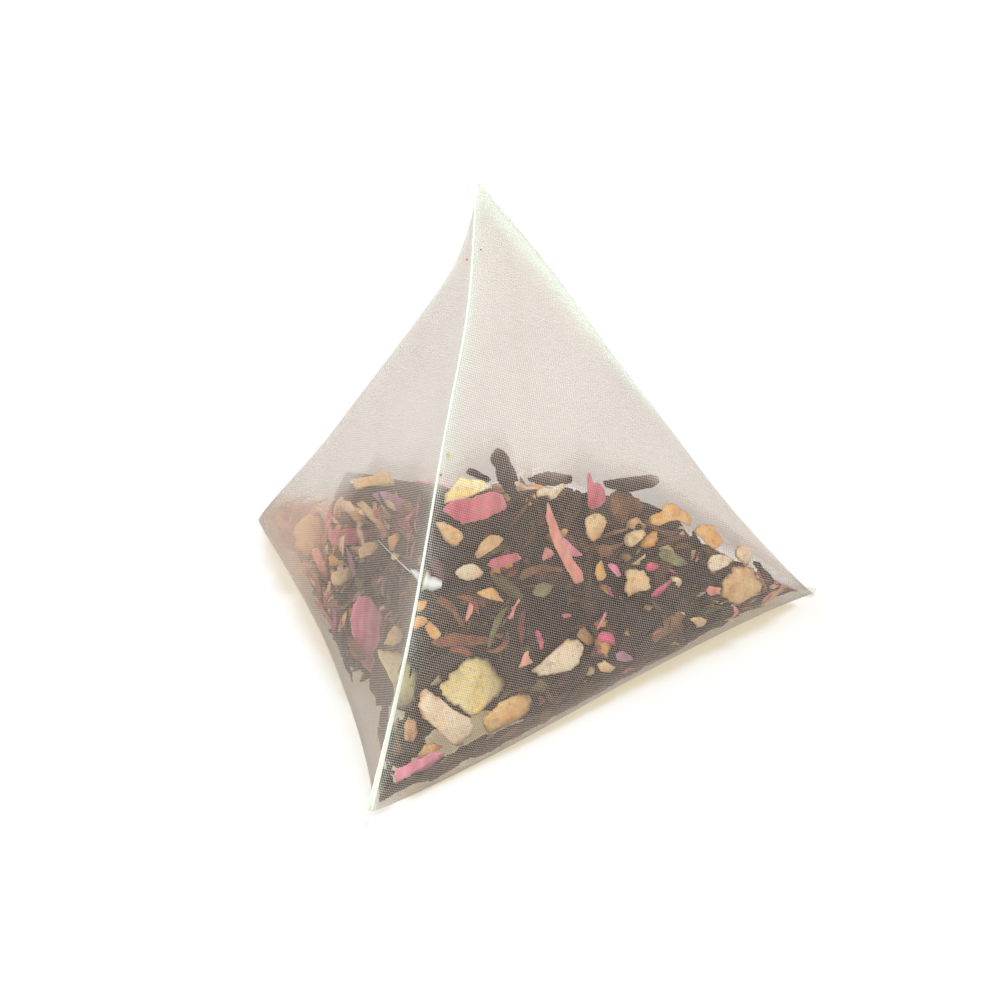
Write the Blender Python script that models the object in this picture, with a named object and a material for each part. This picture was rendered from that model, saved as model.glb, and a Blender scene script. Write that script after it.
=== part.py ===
"""Pyramid tea bag: a woven gauze tube closed by two crossed end seals, with leaf, fruit and petals inside."""

import math

import bpy
import numpy as np
from mathutils import Vector
from mathutils.bvhtree import BVHTree

for item in list(bpy.data.objects):
    bpy.data.objects.remove(item, do_unlink=True)

# Driving sizes, in metres
SEAL = 0.055  # length of each end seal, half the girth of the tube
TUBE = 0.052  # length of the tube between the two seals
WALL = 0.0004  # thickness of the gauze
FLANGE = 0.0009  # width of the welded strip outside each seal
LAP = 0.0002  # height of the long weld that closes the tube, down the back
DEEP = 0.00012  # depth of a mesh cell below the threads round it
LAYER = 0.0030  # depth of the layer of pieces behind the gauze
CLEAR = 0.0003  # gap between neighbouring pieces
FILLING = 0.29  # height of the heap of leaf at its middle, as a share of the seal's length

# Sizes that follow the seal
U = SEAL / 55.0
FILL = FILLING * SEAL
BOW = 0.7 * U  # sideways bow of the front seal
LEAN = -0.6 * U  # lean of the apex
CROWN = 0.6 * U  # sideways swell under the apex
WAIST = 1.0 * U  # how far the sides are drawn in by the tight seals
SHIFT = -3.0 * U  # offset of the rear seal to one side
SETTLE = 2.5 * U  # how far the filled base lifts the corners
FLAT = 2.5 * U  # how far the base is pressed flat
SAG = 0.02  # slope by which the heavier rear sits lower
SOFT = 3.3 * U  # roundness of the bend between base and sides
YAW = math.radians(1.7)  # turn of the rear seal

# How square the tube's section is at the front seal, midway and at the rear seal: 2 is an ellipse
UPPER_POWERS = (4.0, 3.5, 2.9)
LOWER_POWERS = (5.3, 3.5, 2.9)

# Mesh counts
AROUND = 36
ALONG = 15
GAP_STEP = 7
EDGE = 0.028  # share of the tube that each seal holds flat

# The tetrahedron that the two seals span
RISE = SEAL * SEAL / (2 * TUBE)
HEIGHT = math.sqrt(SEAL * SEAL - RISE * RISE)
TOP = np.array([0.0, RISE - TUBE / 2, HEIGHT])
FOOT = np.array([0.0, -TUBE / 2, 0.0])
REAR = np.array([0.0, TUBE / 2, 0.0])
MIDDLE = (TOP + FOOT) / 2
UP_SEAL = (TOP - FOOT) / SEAL
INWARD = (REAR - MIDDLE) / np.linalg.norm(REAR - MIDDLE)
DEPTH = np.linalg.norm(REAR - MIDDLE)


def material(name, colour, rough=0.8, alpha=1.0):
    made = bpy.data.materials.new(name)
    made.use_nodes = True
    shader = made.node_tree.nodes["Principled BSDF"]
    shader.inputs["Base Color"].default_value = (*colour, 1.0)
    shader.inputs["Roughness"].default_value = rough
    shader.inputs["Alpha"].default_value = alpha
    return made


def make_object(name, points, faces, look):
    """One closed mesh, its faces turned outwards."""
    points = np.array(points, float)
    volume = 0.0
    for face in faces:
        first = points[face[0]]
        for k in range(1, len(face) - 1):
            volume += np.dot(first, np.cross(points[face[k]], points[face[k + 1]]))
    if volume < 0:
        faces = [tuple(reversed(face)) for face in faces]
    mesh = bpy.data.meshes.new(name)
    mesh.from_pydata([tuple(map(float, p)) for p in points], [], faces)
    mesh.materials.append(look)
    made = bpy.data.objects.new(name, mesh)
    bpy.context.scene.collection.objects.link(made)
    return made


def section(flat, deep, square_up, square_down, shares):
    """Points at even steps of girth round one section of the tube."""
    turn = np.linspace(0, 2 * math.pi, 1441)
    cos, sin = np.cos(turn), np.sin(turn)
    power = np.where(cos > 0, 2 / square_up, 2 / square_down)
    p = flat * np.sign(cos) * np.abs(cos) ** power
    q = deep * np.sign(sin) * np.abs(sin) ** power
    steps = np.hypot(np.diff(p), np.diff(q))
    length = np.concatenate([[0.0], np.cumsum(steps)])
    girth = 2 * SEAL / length[-1]
    share = length / length[-1]
    return girth * np.interp(shares, share, p), girth * np.interp(shares, share, q)


def ring(u, shares):
    """One ring of the tube at share u of the way from the front seal to the rear one."""
    up = np.interp(u, [0, 0.5, 1], UPPER_POWERS)
    down = np.interp(u, [0, 0.5, 1], LOWER_POWERS)
    p, q = section(1 - u + 1e-4, u + 1e-4, up, down, shares)
    side = np.array([math.cos(YAW * u), math.sin(YAW * u), 0.0])
    points = MIDDLE + INWARD * DEPTH * u + np.outer(p, UP_SEAL) + np.outer(q, side)
    along = np.clip((p / (SEAL / 2) + 1) / 2, 0, 1)
    points[:, 0] += BOW * np.sin(math.pi * along) * (1 - u) ** 1.5 + SHIFT * u * u
    z = points[:, 2]
    points[:, 0] += LEAN * np.clip(z / HEIGHT, 0, 1.1) ** 2
    points[:, 0] += CROWN * np.exp(-(((z - 0.8 * HEIGHT) / (7 * U)) ** 2))
    out = points[:, :2] - np.array([0.0, 2 * U])
    far = np.hypot(out[:, 0], out[:, 1]) + 1e-9
    drawn = WAIST * np.exp(-(((z - 12 * U) / (6 * U)) ** 2)) * np.clip(1 - far / (34 * U), 0, 1)
    points[:, :2] -= out * (drawn / far)[:, None]
    lifted = points[:, 2] + SETTLE - SAG * points[:, 1]
    lifted = (lifted + np.sqrt(lifted * lifted + SOFT * SOFT)) / 2 - FLAT
    points[:, 2] = np.maximum(lifted, 0)
    return points


def outward_normals(grid):
    around = np.roll(grid, -1, 1) - np.roll(grid, 1, 1)
    along = np.gradient(grid, axis=0)
    normal = np.cross(along, around)
    normal /= np.linalg.norm(normal, axis=2)[..., None] + 1e-12
    middle = grid.mean(axis=(0, 1))
    if np.sum(normal * (grid - middle)) < 0:
        normal = -normal
    return normal


def close_flat(row, turn):
    """Faces across a flattened ring, between points that face each other."""
    count = len(row)
    half = count // 2
    faces = []
    for j in range(half):
        a = row[(turn + j) % count]
        b = row[(turn + j + 1) % count]
        c = row[(turn - j - 1) % count]
        d = row[(turn - j) % count]
        if a == d:
            faces.append((a, b, c))
        elif b == c:
            faces.append((a, b, d))
        else:
            faces.append((a, b, c, d))
    return faces


# Gauze tube
shares = np.arange(AROUND) / AROUND
levels = np.linspace(EDGE, 1 - EDGE, ALONG + 1)
skin = np.array([ring(u, shares) for u in levels])
normals = outward_normals(skin)
skin[..., 2] += WALL / 2
lap = np.zeros(AROUND)
lap[[0, 1]] = LAP
outer = skin + normals * (WALL / 2 + lap[None, :, None])
inner = skin - normals * WALL / 2
outer[..., 2] = np.where(outer[..., 2] < 1e-7, 0.0, outer[..., 2])
inner[..., 2] = np.maximum(inner[..., 2], outer[..., 2] + 0.8 * WALL)

front = ring(0.0, shares)
front[:, 2] += WALL / 2
front_out = front + normals[0] * WALL / 2
front_edge = front_out - INWARD * FLANGE + np.array([0.5 * FLANGE, 0.0, 0.0])
rear = ring(1.0, shares)
rear[:, 2] += WALL / 2
rear_out = rear + normals[-1] * WALL / 2
rear_edge = rear_out + np.array([0.0, FLANGE, 0.0])
for row in (front_out, front_edge, rear_out, rear_edge):
    row[:, 2] = np.maximum(row[:, 2], 0.0)

points = []
faces = []


def add_rows(rows):
    made = []
    for row in rows:
        made.append(list(range(len(points), len(points) + len(row))))
        points.extend(row)
    return made


def strip(first, second):
    for j in range(AROUND):
        k = (j + 1) % AROUND
        faces.append((first[j], first[k], second[k], second[j]))


def inset(corners, share, sink):
    """Four points drawn in towards the middle of a mesh cell and sunk by the given vector."""
    middle = sum(corners) / 4
    start = len(points)
    for corner in corners:
        points.append(corner + (middle - corner) * share + sink)
    return [start, start + 1, start + 2, start + 3]


out_rows = add_rows([front_edge, front_out, *outer, rear_out, rear_edge])
in_rows = add_rows(inner)
strip(out_rows[0], out_rows[1])
strip(out_rows[1], out_rows[2])
strip(out_rows[-3], out_rows[-2])
strip(out_rows[-2], out_rows[-1])
faces.extend(tuple(reversed(face)) for face in close_flat(out_rows[0], 0))
faces.extend(close_flat(out_rows[-1], AROUND // 4))
faces.extend(close_flat(in_rows[0], 0))
faces.extend(tuple(reversed(face)) for face in close_flat(in_rows[-1], AROUND // 4))

for i in range(ALONG):
    for j in range(AROUND):
        k = (j + 1) % AROUND
        top = [out_rows[i + 2][j], out_rows[i + 2][k], out_rows[i + 3][k], out_rows[i + 3][j]]
        low = [in_rows[i][j], in_rows[i][k], in_rows[i + 1][k], in_rows[i + 1][j]]
        flat = max(points[n][2] for n in top) < 1e-6
        open_cell = (3 * i + j) % GAP_STEP == 0 and 0 < i < ALONG - 1 and j > 1 and not flat
        if flat:
            faces.append(tuple(top))
        else:
            sink = -normals[i, j] * DEEP
            sunk = inset([points[n] for n in top], 0.3, sink)
            for a in range(4):
                b = (a + 1) % 4
                faces.append((top[a], top[b], sunk[b], sunk[a]))
            if not open_cell:
                faces.append(tuple(sunk))
        if open_cell:
            under = inset([points[n] for n in low], 0.3, normals[i, j] * 0.0)
            for a in range(4):
                b = (a + 1) % 4
                faces.append((low[b], low[a], under[a], under[b]))
                faces.append((sunk[a], sunk[b], under[b], under[a]))
        else:
            faces.append((low[3], low[2], low[1], low[0]))

gauze = material("bag_gauze", (0.88, 0.84, 0.78), 0.6, 0.45)
make_object("gauze_bag", points, faces, gauze)

# The inside of the bag, as the contents meet it
CENTRE = Vector((0.0, 4 * U, 11 * U))
lining = [tuple(p) for row in inner for p in row]
lining_faces = []
for i in range(ALONG):
    for j in range(AROUND):
        k = (j + 1) % AROUND
        near, far = i * AROUND, (i + 1) * AROUND
        lining_faces.append((near + j, near + k, far + k, far + j))
ends = [list(range(AROUND)), list(range(ALONG * AROUND, (ALONG + 1) * AROUND))]
lining_faces.extend(close_flat(ends[0], 0))
lining_faces.extend(close_flat(ends[1], AROUND // 4))
inside = BVHTree.FromPolygons(lining, lining_faces)


def wall_point(bearing, height):
    """Point and inward normal of the gauze at a bearing in degrees from the front and a height in U."""
    turn = math.radians(bearing)
    start = Vector((0.0, 7.5 * U, height * U))
    hit, normal, _, _ = inside.ray_cast(start, Vector((math.sin(turn), -math.cos(turn), 0.0)))
    if normal.dot(CENTRE - hit) < 0:
        normal = -normal
    return hit, normal


def follow_wall(shape, bearing, height, depth, turn):
    """Lays local points (along, across, deep) behind the gauze, so that they follow its curve."""
    hit, normal = wall_point(bearing, height)
    rise = Vector((0.0, 0.0, 1.0)) - normal * normal.z
    rise.normalize()
    right = normal.cross(rise)
    angle = math.radians(turn)
    along = right * math.cos(angle) + rise * math.sin(angle)
    across = rise * math.cos(angle) - right * math.sin(angle)
    lean = max(0.55, abs((hit - CENTRE).normalized().dot(normal)))
    placed = []
    for a, b, c in shape:
        way = (hit + along * a + across * b - CENTRE).normalized()
        met = inside.ray_cast(CENTRE, way)[0]
        placed.append(tuple(met - way * ((depth + c) / lean)))
    return placed


# Pieces behind the steep left wall turn their faces to the front
FACING = math.radians(18.5)
TILT = math.radians(25)
VIEW = Vector((-math.sin(FACING) * math.cos(TILT), math.cos(FACING) * math.cos(TILT), -math.sin(TILT)))
ACROSS_VIEW = Vector((math.cos(FACING), math.sin(FACING), 0.0))
UP_VIEW = ACROSS_VIEW.cross(VIEW)


def face_front(shape, bearing, height, depth, turn):
    """Lays local points in a plane that faces the front, just behind the gauze."""
    hit = wall_point(bearing, height)[0]
    angle = math.radians(turn)
    along = ACROSS_VIEW * math.cos(angle) + UP_VIEW * math.sin(angle)
    across = UP_VIEW * math.cos(angle) - ACROSS_VIEW * math.sin(angle)
    return [tuple(hit + along * a + across * b + VIEW * (depth + c)) for a, b, c in shape]


def clear_of_wall(laid, gap):
    """True if every point is inside the bag by at least the gap."""
    for p in laid:
        way = Vector(p) - CENTRE
        met = inside.ray_cast(CENTRE, way.normalized())[0]
        if met is None or (met - CENTRE).length < way.length + gap:
            return False
    return all(inside.find_nearest(Vector(p))[3] >= gap for p in laid)


def wobble(seed, k):
    return math.sin(12.9 * seed + 4.7 * k) * 0.5 + math.sin(3.3 * seed + 9.1 * k) * 0.5


def chunk(length, width, thick, seed):
    """A rough cut piece of dried fruit."""
    rows, turns = 4, 8
    shape = [(0.0, 0.0, 0.0)]
    for i in range(1, rows):
        tilt = math.pi * i / rows
        for j in range(turns):
            turn = 2 * math.pi * j / turns
            ring_share = math.sin(tilt) ** 0.55
            x = math.copysign(abs(math.cos(turn)) ** 0.6, math.cos(turn)) * ring_share
            y = math.copysign(abs(math.sin(turn)) ** 0.6, math.sin(turn)) * ring_share
            z = math.copysign(abs(math.cos(tilt)) ** 0.6, math.cos(tilt))
            size = 1 + 0.12 * wobble(seed, i * turns + j)
            shape.append((x * size * length / 2, y * size * width / 2, (1 - z) * thick / 2))
    shape.append((0.0, 0.0, thick))
    last = len(shape) - 1
    found = []
    for j in range(turns):
        k = (j + 1) % turns
        found.append((0, 1 + j, 1 + k))
        for i in range(rows - 2):
            a = 1 + i * turns
            found.append((a + j, a + turns + j, a + turns + k, a + k))
        a = 1 + (rows - 2) * turns
        found.append((a + j, last, a + k))
    return shape, found


def sheet(length, width, thick, seed, curl=0.25, taper=0.5, jag=0.05):
    """A petal or a broken leaf: a thin curled sheet with an uneven edge."""
    nx, ny = 5, 3
    shape = []
    for face in (0, 1):
        for i in range(nx + 1):
            x = i / nx * 2 - 1
            half = (1 - taper * abs(x) ** 2.5) * (1 + jag * wobble(seed, i))
            for j in range(ny + 1):
                y = (j / ny * 2 - 1) * half
                bend = curl * (0.5 * y * y + 0.3 * math.sin(2.2 * x + seed))
                deep = thick * (0.9 + 2.2 * (bend - 0.35 * curl))
                edge = 1 + jag * wobble(seed + 3, j + 7 * i)
                shape.append((x * edge * length / 2, y * width / 2, deep + (face - 0.5) * thick))
    each = (nx + 1) * (ny + 1)
    found = []
    for i in range(nx):
        for j in range(ny):
            a = i * (ny + 1) + j
            b, c, d = a + 1, a + ny + 2, a + ny + 1
            found.append((a, b, c, d))
            found.append((each + d, each + c, each + b, each + a))
    rim = [i * (ny + 1) for i in range(nx + 1)]
    rim += [nx * (ny + 1) + j for j in range(1, ny + 1)]
    rim += [i * (ny + 1) + ny for i in range(nx - 1, -1, -1)]
    rim += list(range(ny - 1, 0, -1))
    for n, a in enumerate(rim):
        b = rim[(n + 1) % len(rim)]
        found.append((a, b, each + b, each + a))
    low = min(p[2] for p in shape)
    return [(a, b, c - low) for a, b, c in shape], found


def stick(length, width, thick, seed, bend=0.2, sides=6, steps=5):
    """A stem, a peel strip or a rolled leaf: a bent rod that thins to its ends."""
    shape = []
    for i in range(steps):
        x = i / (steps - 1) * 2 - 1
        size = 1 - 0.45 * abs(x) ** 3 + 0.12 * wobble(seed, i)
        side = bend * length * (0.5 - x * x) * 0.5
        for j in range(sides):
            turn = 2 * math.pi * j / sides + 0.5 * x
            y = side + math.cos(turn) * size * width / 2
            shape.append((x * length / 2, y, thick / 2 + math.sin(turn) * size * thick / 2))
    found = [tuple(range(sides)), tuple(reversed(range((steps - 1) * sides, steps * sides)))]
    for i in range(steps - 1):
        for j in range(sides):
            k = (j + 1) % sides
            a, b = i * sides, (i + 1) * sides
            found.append((a + k, a + j, b + j, b + k))
    return shape, found


# Dried fruit, petals, leaves and stems, each where it lies behind the gauze:
# kind, colour, how it is laid, bearing in degrees, height, length, width, thickness, turn in degrees
LEMON = (0.90, 0.76, 0.36)
CREAM = (0.88, 0.74, 0.50)
TAN = (0.70, 0.48, 0.26)
ORANGE = (0.86, 0.46, 0.16)
ROSE = (0.70, 0.16, 0.24)
PINK = (0.82, 0.30, 0.42)
SALMON = (0.85, 0.42, 0.34)
MAUVE = (0.45, 0.24, 0.34)
BROWN = (0.30, 0.18, 0.12)
DARK = (0.10, 0.08, 0.08)
GREEN = (0.30, 0.32, 0.16)
RUST = (0.48, 0.22, 0.14)

PIECES = {
    "pineapple_cube": (chunk, LEMON, follow_wall, 12.5, 6.5, 8.3, 5.2, 1.9, -18),
    "pale_fruit_slice": (chunk, LEMON, face_front, -1.2, 9.1, 5.9, 3.5, 1.7, -84),
    "beige_fruit_strip": (chunk, CREAM, follow_wall, 7.4, 4.7, 7.9, 3, 1.7, -51),
    "crumbled_mango": (chunk, ORANGE, follow_wall, 20.7, 2.8, 6.5, 3.3, 1.6, -2),
    "pink_folded_petal": (sheet, PINK, follow_wall, 3.7, 1.7, 7.8, 1.9, 0.6, -4),
    "rose_petal": (sheet, ROSE, follow_wall, 11.1, 21.9, 7.8, 2.5, 0.6, -9),
    "pale_fruit_chunk": (chunk, LEMON, face_front, 7.8, 23.3, 4.6, 2, 1.8, 20),
    "seam_fruit_crumb": (chunk, TAN, face_front, -7.2, 10.9, 2.3, 1.7, 1.8, 45),
    "tan_fruit_chunk": (chunk, TAN, face_front, 5.2, 20.3, 3.1, 1.6, 1.8, -41),
    "curled_peel": (chunk, TAN, follow_wall, 14.5, 18.1, 4.1, 1.4, 1.5, 10),
    "green_leaf_strip": (sheet, GREEN, follow_wall, 18.8, 17.4, 4.4, 1.1, 0.5, 8),
    "red_petal_strip": (sheet, ROSE, follow_wall, 20.1, 16.2, 4.9, 1, 0.5, -7),
    "cream_fruit_nib": (chunk, CREAM, follow_wall, 9.9, 16.5, 3.7, 1.7, 1.6, -19),
    "golden_fruit_nib": (chunk, ORANGE, follow_wall, 16.2, 13.7, 4.1, 1.4, 1.6, -35),
    "peach_sliver": (sheet, SALMON, follow_wall, 10.4, 13, 2.2, 0.9, 0.5, 56),
    "cream_curl": (stick, CREAM, follow_wall, 45.3, 20.7, 4, 1.5, 1.2, -5),
    "dark_leaf_roll": (stick, DARK, follow_wall, 94.6, 18.7, 7.2, 1.6, 1.5, -15),
    "red_petal_shard": (sheet, ROSE, follow_wall, 74.2, 19.3, 3.9, 2.5, 0.6, -80),
    "salmon_petal": (sheet, SALMON, follow_wall, 48.8, 15.6, 8.7, 1.8, 0.6, -72),
    "magenta_petal": (sheet, PINK, follow_wall, 53.8, 14.9, 3.4, 1.3, 0.5, -54),
    "small_pink_petal": (sheet, PINK, follow_wall, 74.4, 11.6, 2.3, 1, 0.5, -48),
    "brown_fruit_crumb": (chunk, BROWN, follow_wall, 88.1, 16.8, 4.8, 3.5, 1.7, -31),
    "russet_fruit_crumb": (chunk, TAN, follow_wall, 69.8, 16.1, 2.8, 2.6, 1.6, -22),
    "orange_peel_crumb": (chunk, ORANGE, follow_wall, 103.4, 14.4, 5.4, 2.4, 1.6, -17),
    "orange_peel_nib": (chunk, ORANGE, follow_wall, 111.5, 11.1, 4.1, 2.3, 1.6, -35),
    "cream_fruit_block": (chunk, CREAM, follow_wall, 117.9, 7.8, 4.2, 2.1, 1.7, -17),
    "tan_fruit_block": (chunk, CREAM, follow_wall, 113.9, 5.2, 6, 3.6, 2, -13),
    "peach_peel": (sheet, SALMON, follow_wall, 106.2, 6.2, 2.4, 1.1, 0.5, -17),
    "dark_leaf_blade": (sheet, DARK, follow_wall, 113.8, 3, 10.3, 2.3, 0.7, -6),
    "pale_fruit_flake": (chunk, TAN, follow_wall, 81.9, 9.8, 3.3, 2.8, 1.6, -9),
    "cream_fruit_wedge": (chunk, CREAM, follow_wall, 40.3, 5.8, 7, 2.8, 1.9, 0),
    "orange_rind_nib": (chunk, ORANGE, follow_wall, 54.2, 6.7, 2.8, 1.7, 1.5, -48),
    "pink_petal_chip": (sheet, SALMON, follow_wall, 27, 7, 2.2, 1.6, 0.5, 22),
    "rose_petal_sliver": (sheet, PINK, follow_wall, 61.8, 7.7, 2.4, 0.8, 0.5, 40),
    "green_leaf_flake": (sheet, GREEN, follow_wall, 35.7, 12.3, 2.8, 1.5, 0.6, -8),
    "brown_leaf_curl": (stick, BROWN, follow_wall, 34.9, 14, 5.5, 1.2, 0.9, -10),
    "olive_leaf": (sheet, GREEN, follow_wall, 98.8, 10.7, 4, 1.3, 0.5, -34),
    "peach_fruit_flake": (chunk, CREAM, follow_wall, 110.2, 8.5, 3.7, 1.9, 1.4, -10),
    "ember_crumb": (chunk, ORANGE, follow_wall, 3.4, 12.8, 2.3, 1.3, 1.3, -44),
    "bent_stem": (stick, BROWN, follow_wall, 6.5, 13.7, 5.1, 0.8, 0.5, -54),
    "rust_leaf": (sheet, RUST, follow_wall, 9.1, 10.9, 8.6, 1.2, 0.6, -18),
    "olive_stalk": (stick, GREEN, follow_wall, 17.7, 10.8, 4.6, 0.9, 0.8, 42),
    "ochre_crumb": (chunk, TAN, follow_wall, 61.1, 3.3, 3.4, 1.1, 1.4, -31),
    "upright_leaf": (sheet, DARK, follow_wall, 21.7, 23.9, 5.6, 2.3, 0.6, -68),
    "tilted_leaf": (sheet, DARK, follow_wall, 11, 24.6, 3.5, 0.8, 0.6, -32),
    "left_orange_crumb": (chunk, ORANGE, face_front, -65.9, 17.4, 4.2, 1.7, 1.7, 4),
    "left_mauve_petal": (sheet, MAUVE, face_front, -34.2, 18, 4.6, 1.8, 0.6, -27),
    "left_peel_strip": (stick, TAN, face_front, -49, 15.3, 4.7, 0.8, 1, -39),
    "left_dark_leaf": (sheet, DARK, face_front, -13.5, 21.5, 2.8, 1.1, 0.6, -16),
    "left_pink_petal": (sheet, PINK, face_front, -24.3, 7.9, 7, 3.2, 0.6, -84),
    "left_tan_chunk": (chunk, TAN, face_front, -62.5, 8.4, 2.5, 1.4, 1.8, 17),
    "left_peach_curl": (stick, SALMON, face_front, -80, 7.2, 4, 0.9, 1.4, -66),
    "left_brown_flake": (sheet, BROWN, face_front, -31, 5.6, 3.2, 1, 0.6, -57),
    "left_corner_fruit": (chunk, ORANGE, face_front, -94, 7.9, 3.6, 3, 1.8, 9),
    "rear_orange_crumb": (chunk, ORANGE, follow_wall, 158, 8.6, 4.2, 2.6, 1.7, 15),
    "rear_cream_chunk": (chunk, CREAM, follow_wall, -168, 5.2, 4.4, 3.2, 1.8, -20),
    "rear_pink_petal": (sheet, PINK, follow_wall, -142, 8.2, 5.2, 2.8, 0.6, 24),
    "rear_leaf": (sheet, DARK, follow_wall, 176, 11.8, 5.6, 2.2, 0.6, -12),
}
START_IN = 0.4 * U
STEP_IN = 0.25 * U
STEPS_IN = 40
settled_points = []
settled_faces = []


def clear_of_pieces(laid, faces):
    """True if a piece keeps its gap from all pieces laid before it."""
    if not settled_points:
        return True
    settled = BVHTree.FromPolygons(settled_points, settled_faces)
    own = BVHTree.FromPolygons([tuple(p) for p in laid], faces)
    if own.overlap(settled):
        return False
    if min(settled.find_nearest(Vector(p))[3] for p in laid) < CLEAR:
        return False
    return all(own.find_nearest(Vector(p), CLEAR)[0] is None for p in settled_points)


for number, (name, row) in enumerate(PIECES.items()):
    kind, colour, lay, bearing, height, length, width, thick, turn = row
    shape, shape_faces = kind(length * U, width * U, thick * U, number + 1)
    # Each piece lies as near the gauze as the pieces before it allow
    for step in range(STEPS_IN):
        laid = lay(shape, bearing, height, START_IN + step * STEP_IN, turn)
        if clear_of_wall(laid, CLEAR) and clear_of_pieces(laid, shape_faces):
            break
    start = len(settled_points)
    settled_points.extend(laid)
    settled_faces.extend(tuple(v + start for v in face) for face in shape_faces)
    make_object(name, laid, shape_faces, material(name, colour))

# Heap of tea leaf under and behind the pieces
HEAP_TURNS = 32
HEAP_ROWS = 13
NEARBY = math.cos(0.30)
slope = Vector((0.0, 0.36, 1.0)).normalized()

# Direction and distance of every point of the pieces, seen from the middle of the contents
taken = np.array(settled_points)
taken_ways = taken - np.array(CENTRE)
taken_reach = np.linalg.norm(taken_ways, axis=1)
taken_ways /= taken_reach[:, None]


def heap_point(turn, tilt):
    way = Vector((math.cos(turn) * math.sin(tilt), math.sin(turn) * math.sin(tilt), -math.cos(tilt)))
    met, normal, _, _ = inside.ray_cast(CENTRE, way)
    lean = max(0.55, abs(way.dot(normal)))
    under = max(0.0, min(1.0, (-way.z - 0.35) / 0.3))
    back = (LAYER * (1 - under) + 2 * CLEAR * under) / lean
    lump = 0.35 * U * math.sin(5 * turn + 3 * tilt) * math.sin(4 * tilt - 2 * turn) * (1 - under)
    reach = (met - CENTRE).length - back + min(lump, 0.0)
    # The heap stays behind the pieces that lie in this direction
    aligned = taken_ways @ np.array(way) > NEARBY
    if aligned.any():
        reach = min(reach, taken_reach[aligned].min() - 1.5 * CLEAR)
    climb = way.dot(slope)
    if climb > 0.02:
        bumps = 0.7 * U * math.sin(3 * turn + 1.3) * math.sin(3 * tilt)
        top = (FILL - CENTRE.z + bumps) / climb
        reach = min(reach, top)
    return CENTRE + way * reach


heap_points = [heap_point(0.0, 0.0)]
for i in range(1, HEAP_ROWS):
    for j in range(HEAP_TURNS):
        heap_points.append(heap_point(2 * math.pi * j / HEAP_TURNS, math.pi * i / HEAP_ROWS))
heap_points.append(heap_point(0.0, math.pi))
heap_faces = []
last = len(heap_points) - 1
for j in range(HEAP_TURNS):
    k = (j + 1) % HEAP_TURNS
    heap_faces.append((0, 1 + k, 1 + j))
    for i in range(HEAP_ROWS - 2):
        a = 1 + i * HEAP_TURNS
        heap_faces.append((a + j, a + k, a + HEAP_TURNS + k, a + HEAP_TURNS + j))
    a = 1 + (HEAP_ROWS - 2) * HEAP_TURNS
    heap_faces.append((a + k, last, a + j))
heap = make_object("tea_leaf_heap", heap_points, heap_faces, material("tea_leaf_heap", DARK))

# Rolled leaves half sunk in the heap and fused to it, kept clear of the pieces
SHREDS = 700
SHRED_STEPS = 12
heap_tree = BVHTree.FromPolygons([tuple(p) for p in heap_points], heap_faces)
shred_points = []
shred_faces = []
for n in range(SHREDS):
    bearing = (n * 137.5) % 360 - 180
    height = 4.5 + 13.5 * ((n * 0.618) % 1.0)
    length = (4.2 + 1.6 * wobble(n, 1)) * U
    shape, shape_faces = stick(length, 1.4 * U, 2.2 * U, n, 0.15, 5, 4)
    for step in range(SHRED_STEPS):
        laid = np.array(follow_wall(shape, bearing, height, (1.8 + 0.6 * step) * U, 70 * wobble(n, 2)))
        buried = 0
        for p in laid:
            way = Vector(p) - CENTRE
            buried += heap_tree.ray_cast(CENTRE, way.normalized(), way.length)[0] is None
        if buried >= 4:
            break
    if laid[:, 2].min() < 2.5 * U or not 4 <= buried <= 16:
        continue
    if shred_points:
        near = np.linalg.norm(laid[:, None] - np.array(shred_points)[None], axis=2).min()
        if near < 1.15 * U:
            continue
    if not clear_of_pieces(laid, shape_faces):
        continue
    start = len(shred_points)
    shred_points.extend(laid)
    shred_faces.extend(tuple(start + v for v in face) for face in shape_faces)
shreds = make_object("shred_helper", shred_points, shred_faces, material("shred_helper", DARK))
shreds.hide_render = True
shreds.display_type = "WIRE"
join = heap.modifiers.new("join", "BOOLEAN")
join.operation = "UNION"
join.solver = "EXACT"
join.object = shreds

# The middle of the bag's plan at the floor becomes the origin
corners = np.array([v.co for v in bpy.data.objects["gauze_bag"].data.vertices])
middle = (corners.min(axis=0) + corners.max(axis=0)) / 2
for item in bpy.data.objects:
    item.location = (-middle[0], -middle[1], 0.0)
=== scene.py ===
"""Pyramid tea bag: woven gauze with welded seals, dried fruit, petals and leaf, on a pale floor."""

import math
import random

import bmesh
import bpy
import numpy as np
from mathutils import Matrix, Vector, noise
from mathutils.bvhtree import BVHTree


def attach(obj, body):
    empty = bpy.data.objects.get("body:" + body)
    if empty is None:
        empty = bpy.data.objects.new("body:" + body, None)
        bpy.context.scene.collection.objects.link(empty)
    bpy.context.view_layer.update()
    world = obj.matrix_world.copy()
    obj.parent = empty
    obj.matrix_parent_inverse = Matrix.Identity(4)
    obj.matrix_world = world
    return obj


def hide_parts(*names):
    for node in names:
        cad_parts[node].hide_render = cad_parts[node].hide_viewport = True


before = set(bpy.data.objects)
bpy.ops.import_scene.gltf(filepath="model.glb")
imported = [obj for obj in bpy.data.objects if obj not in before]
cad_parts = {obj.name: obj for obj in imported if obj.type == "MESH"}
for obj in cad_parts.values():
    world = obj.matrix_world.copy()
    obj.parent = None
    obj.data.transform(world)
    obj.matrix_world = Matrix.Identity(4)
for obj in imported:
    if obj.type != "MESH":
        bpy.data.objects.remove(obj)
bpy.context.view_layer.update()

# Sizes of the bag in millimetres, as in the part's own frame
SEAL, TUBE, WALL = 55.0, 52.0, 0.4
BOW, LEAN, CROWN, WAIST = 0.7, -0.6, 0.6, 1.0
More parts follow.
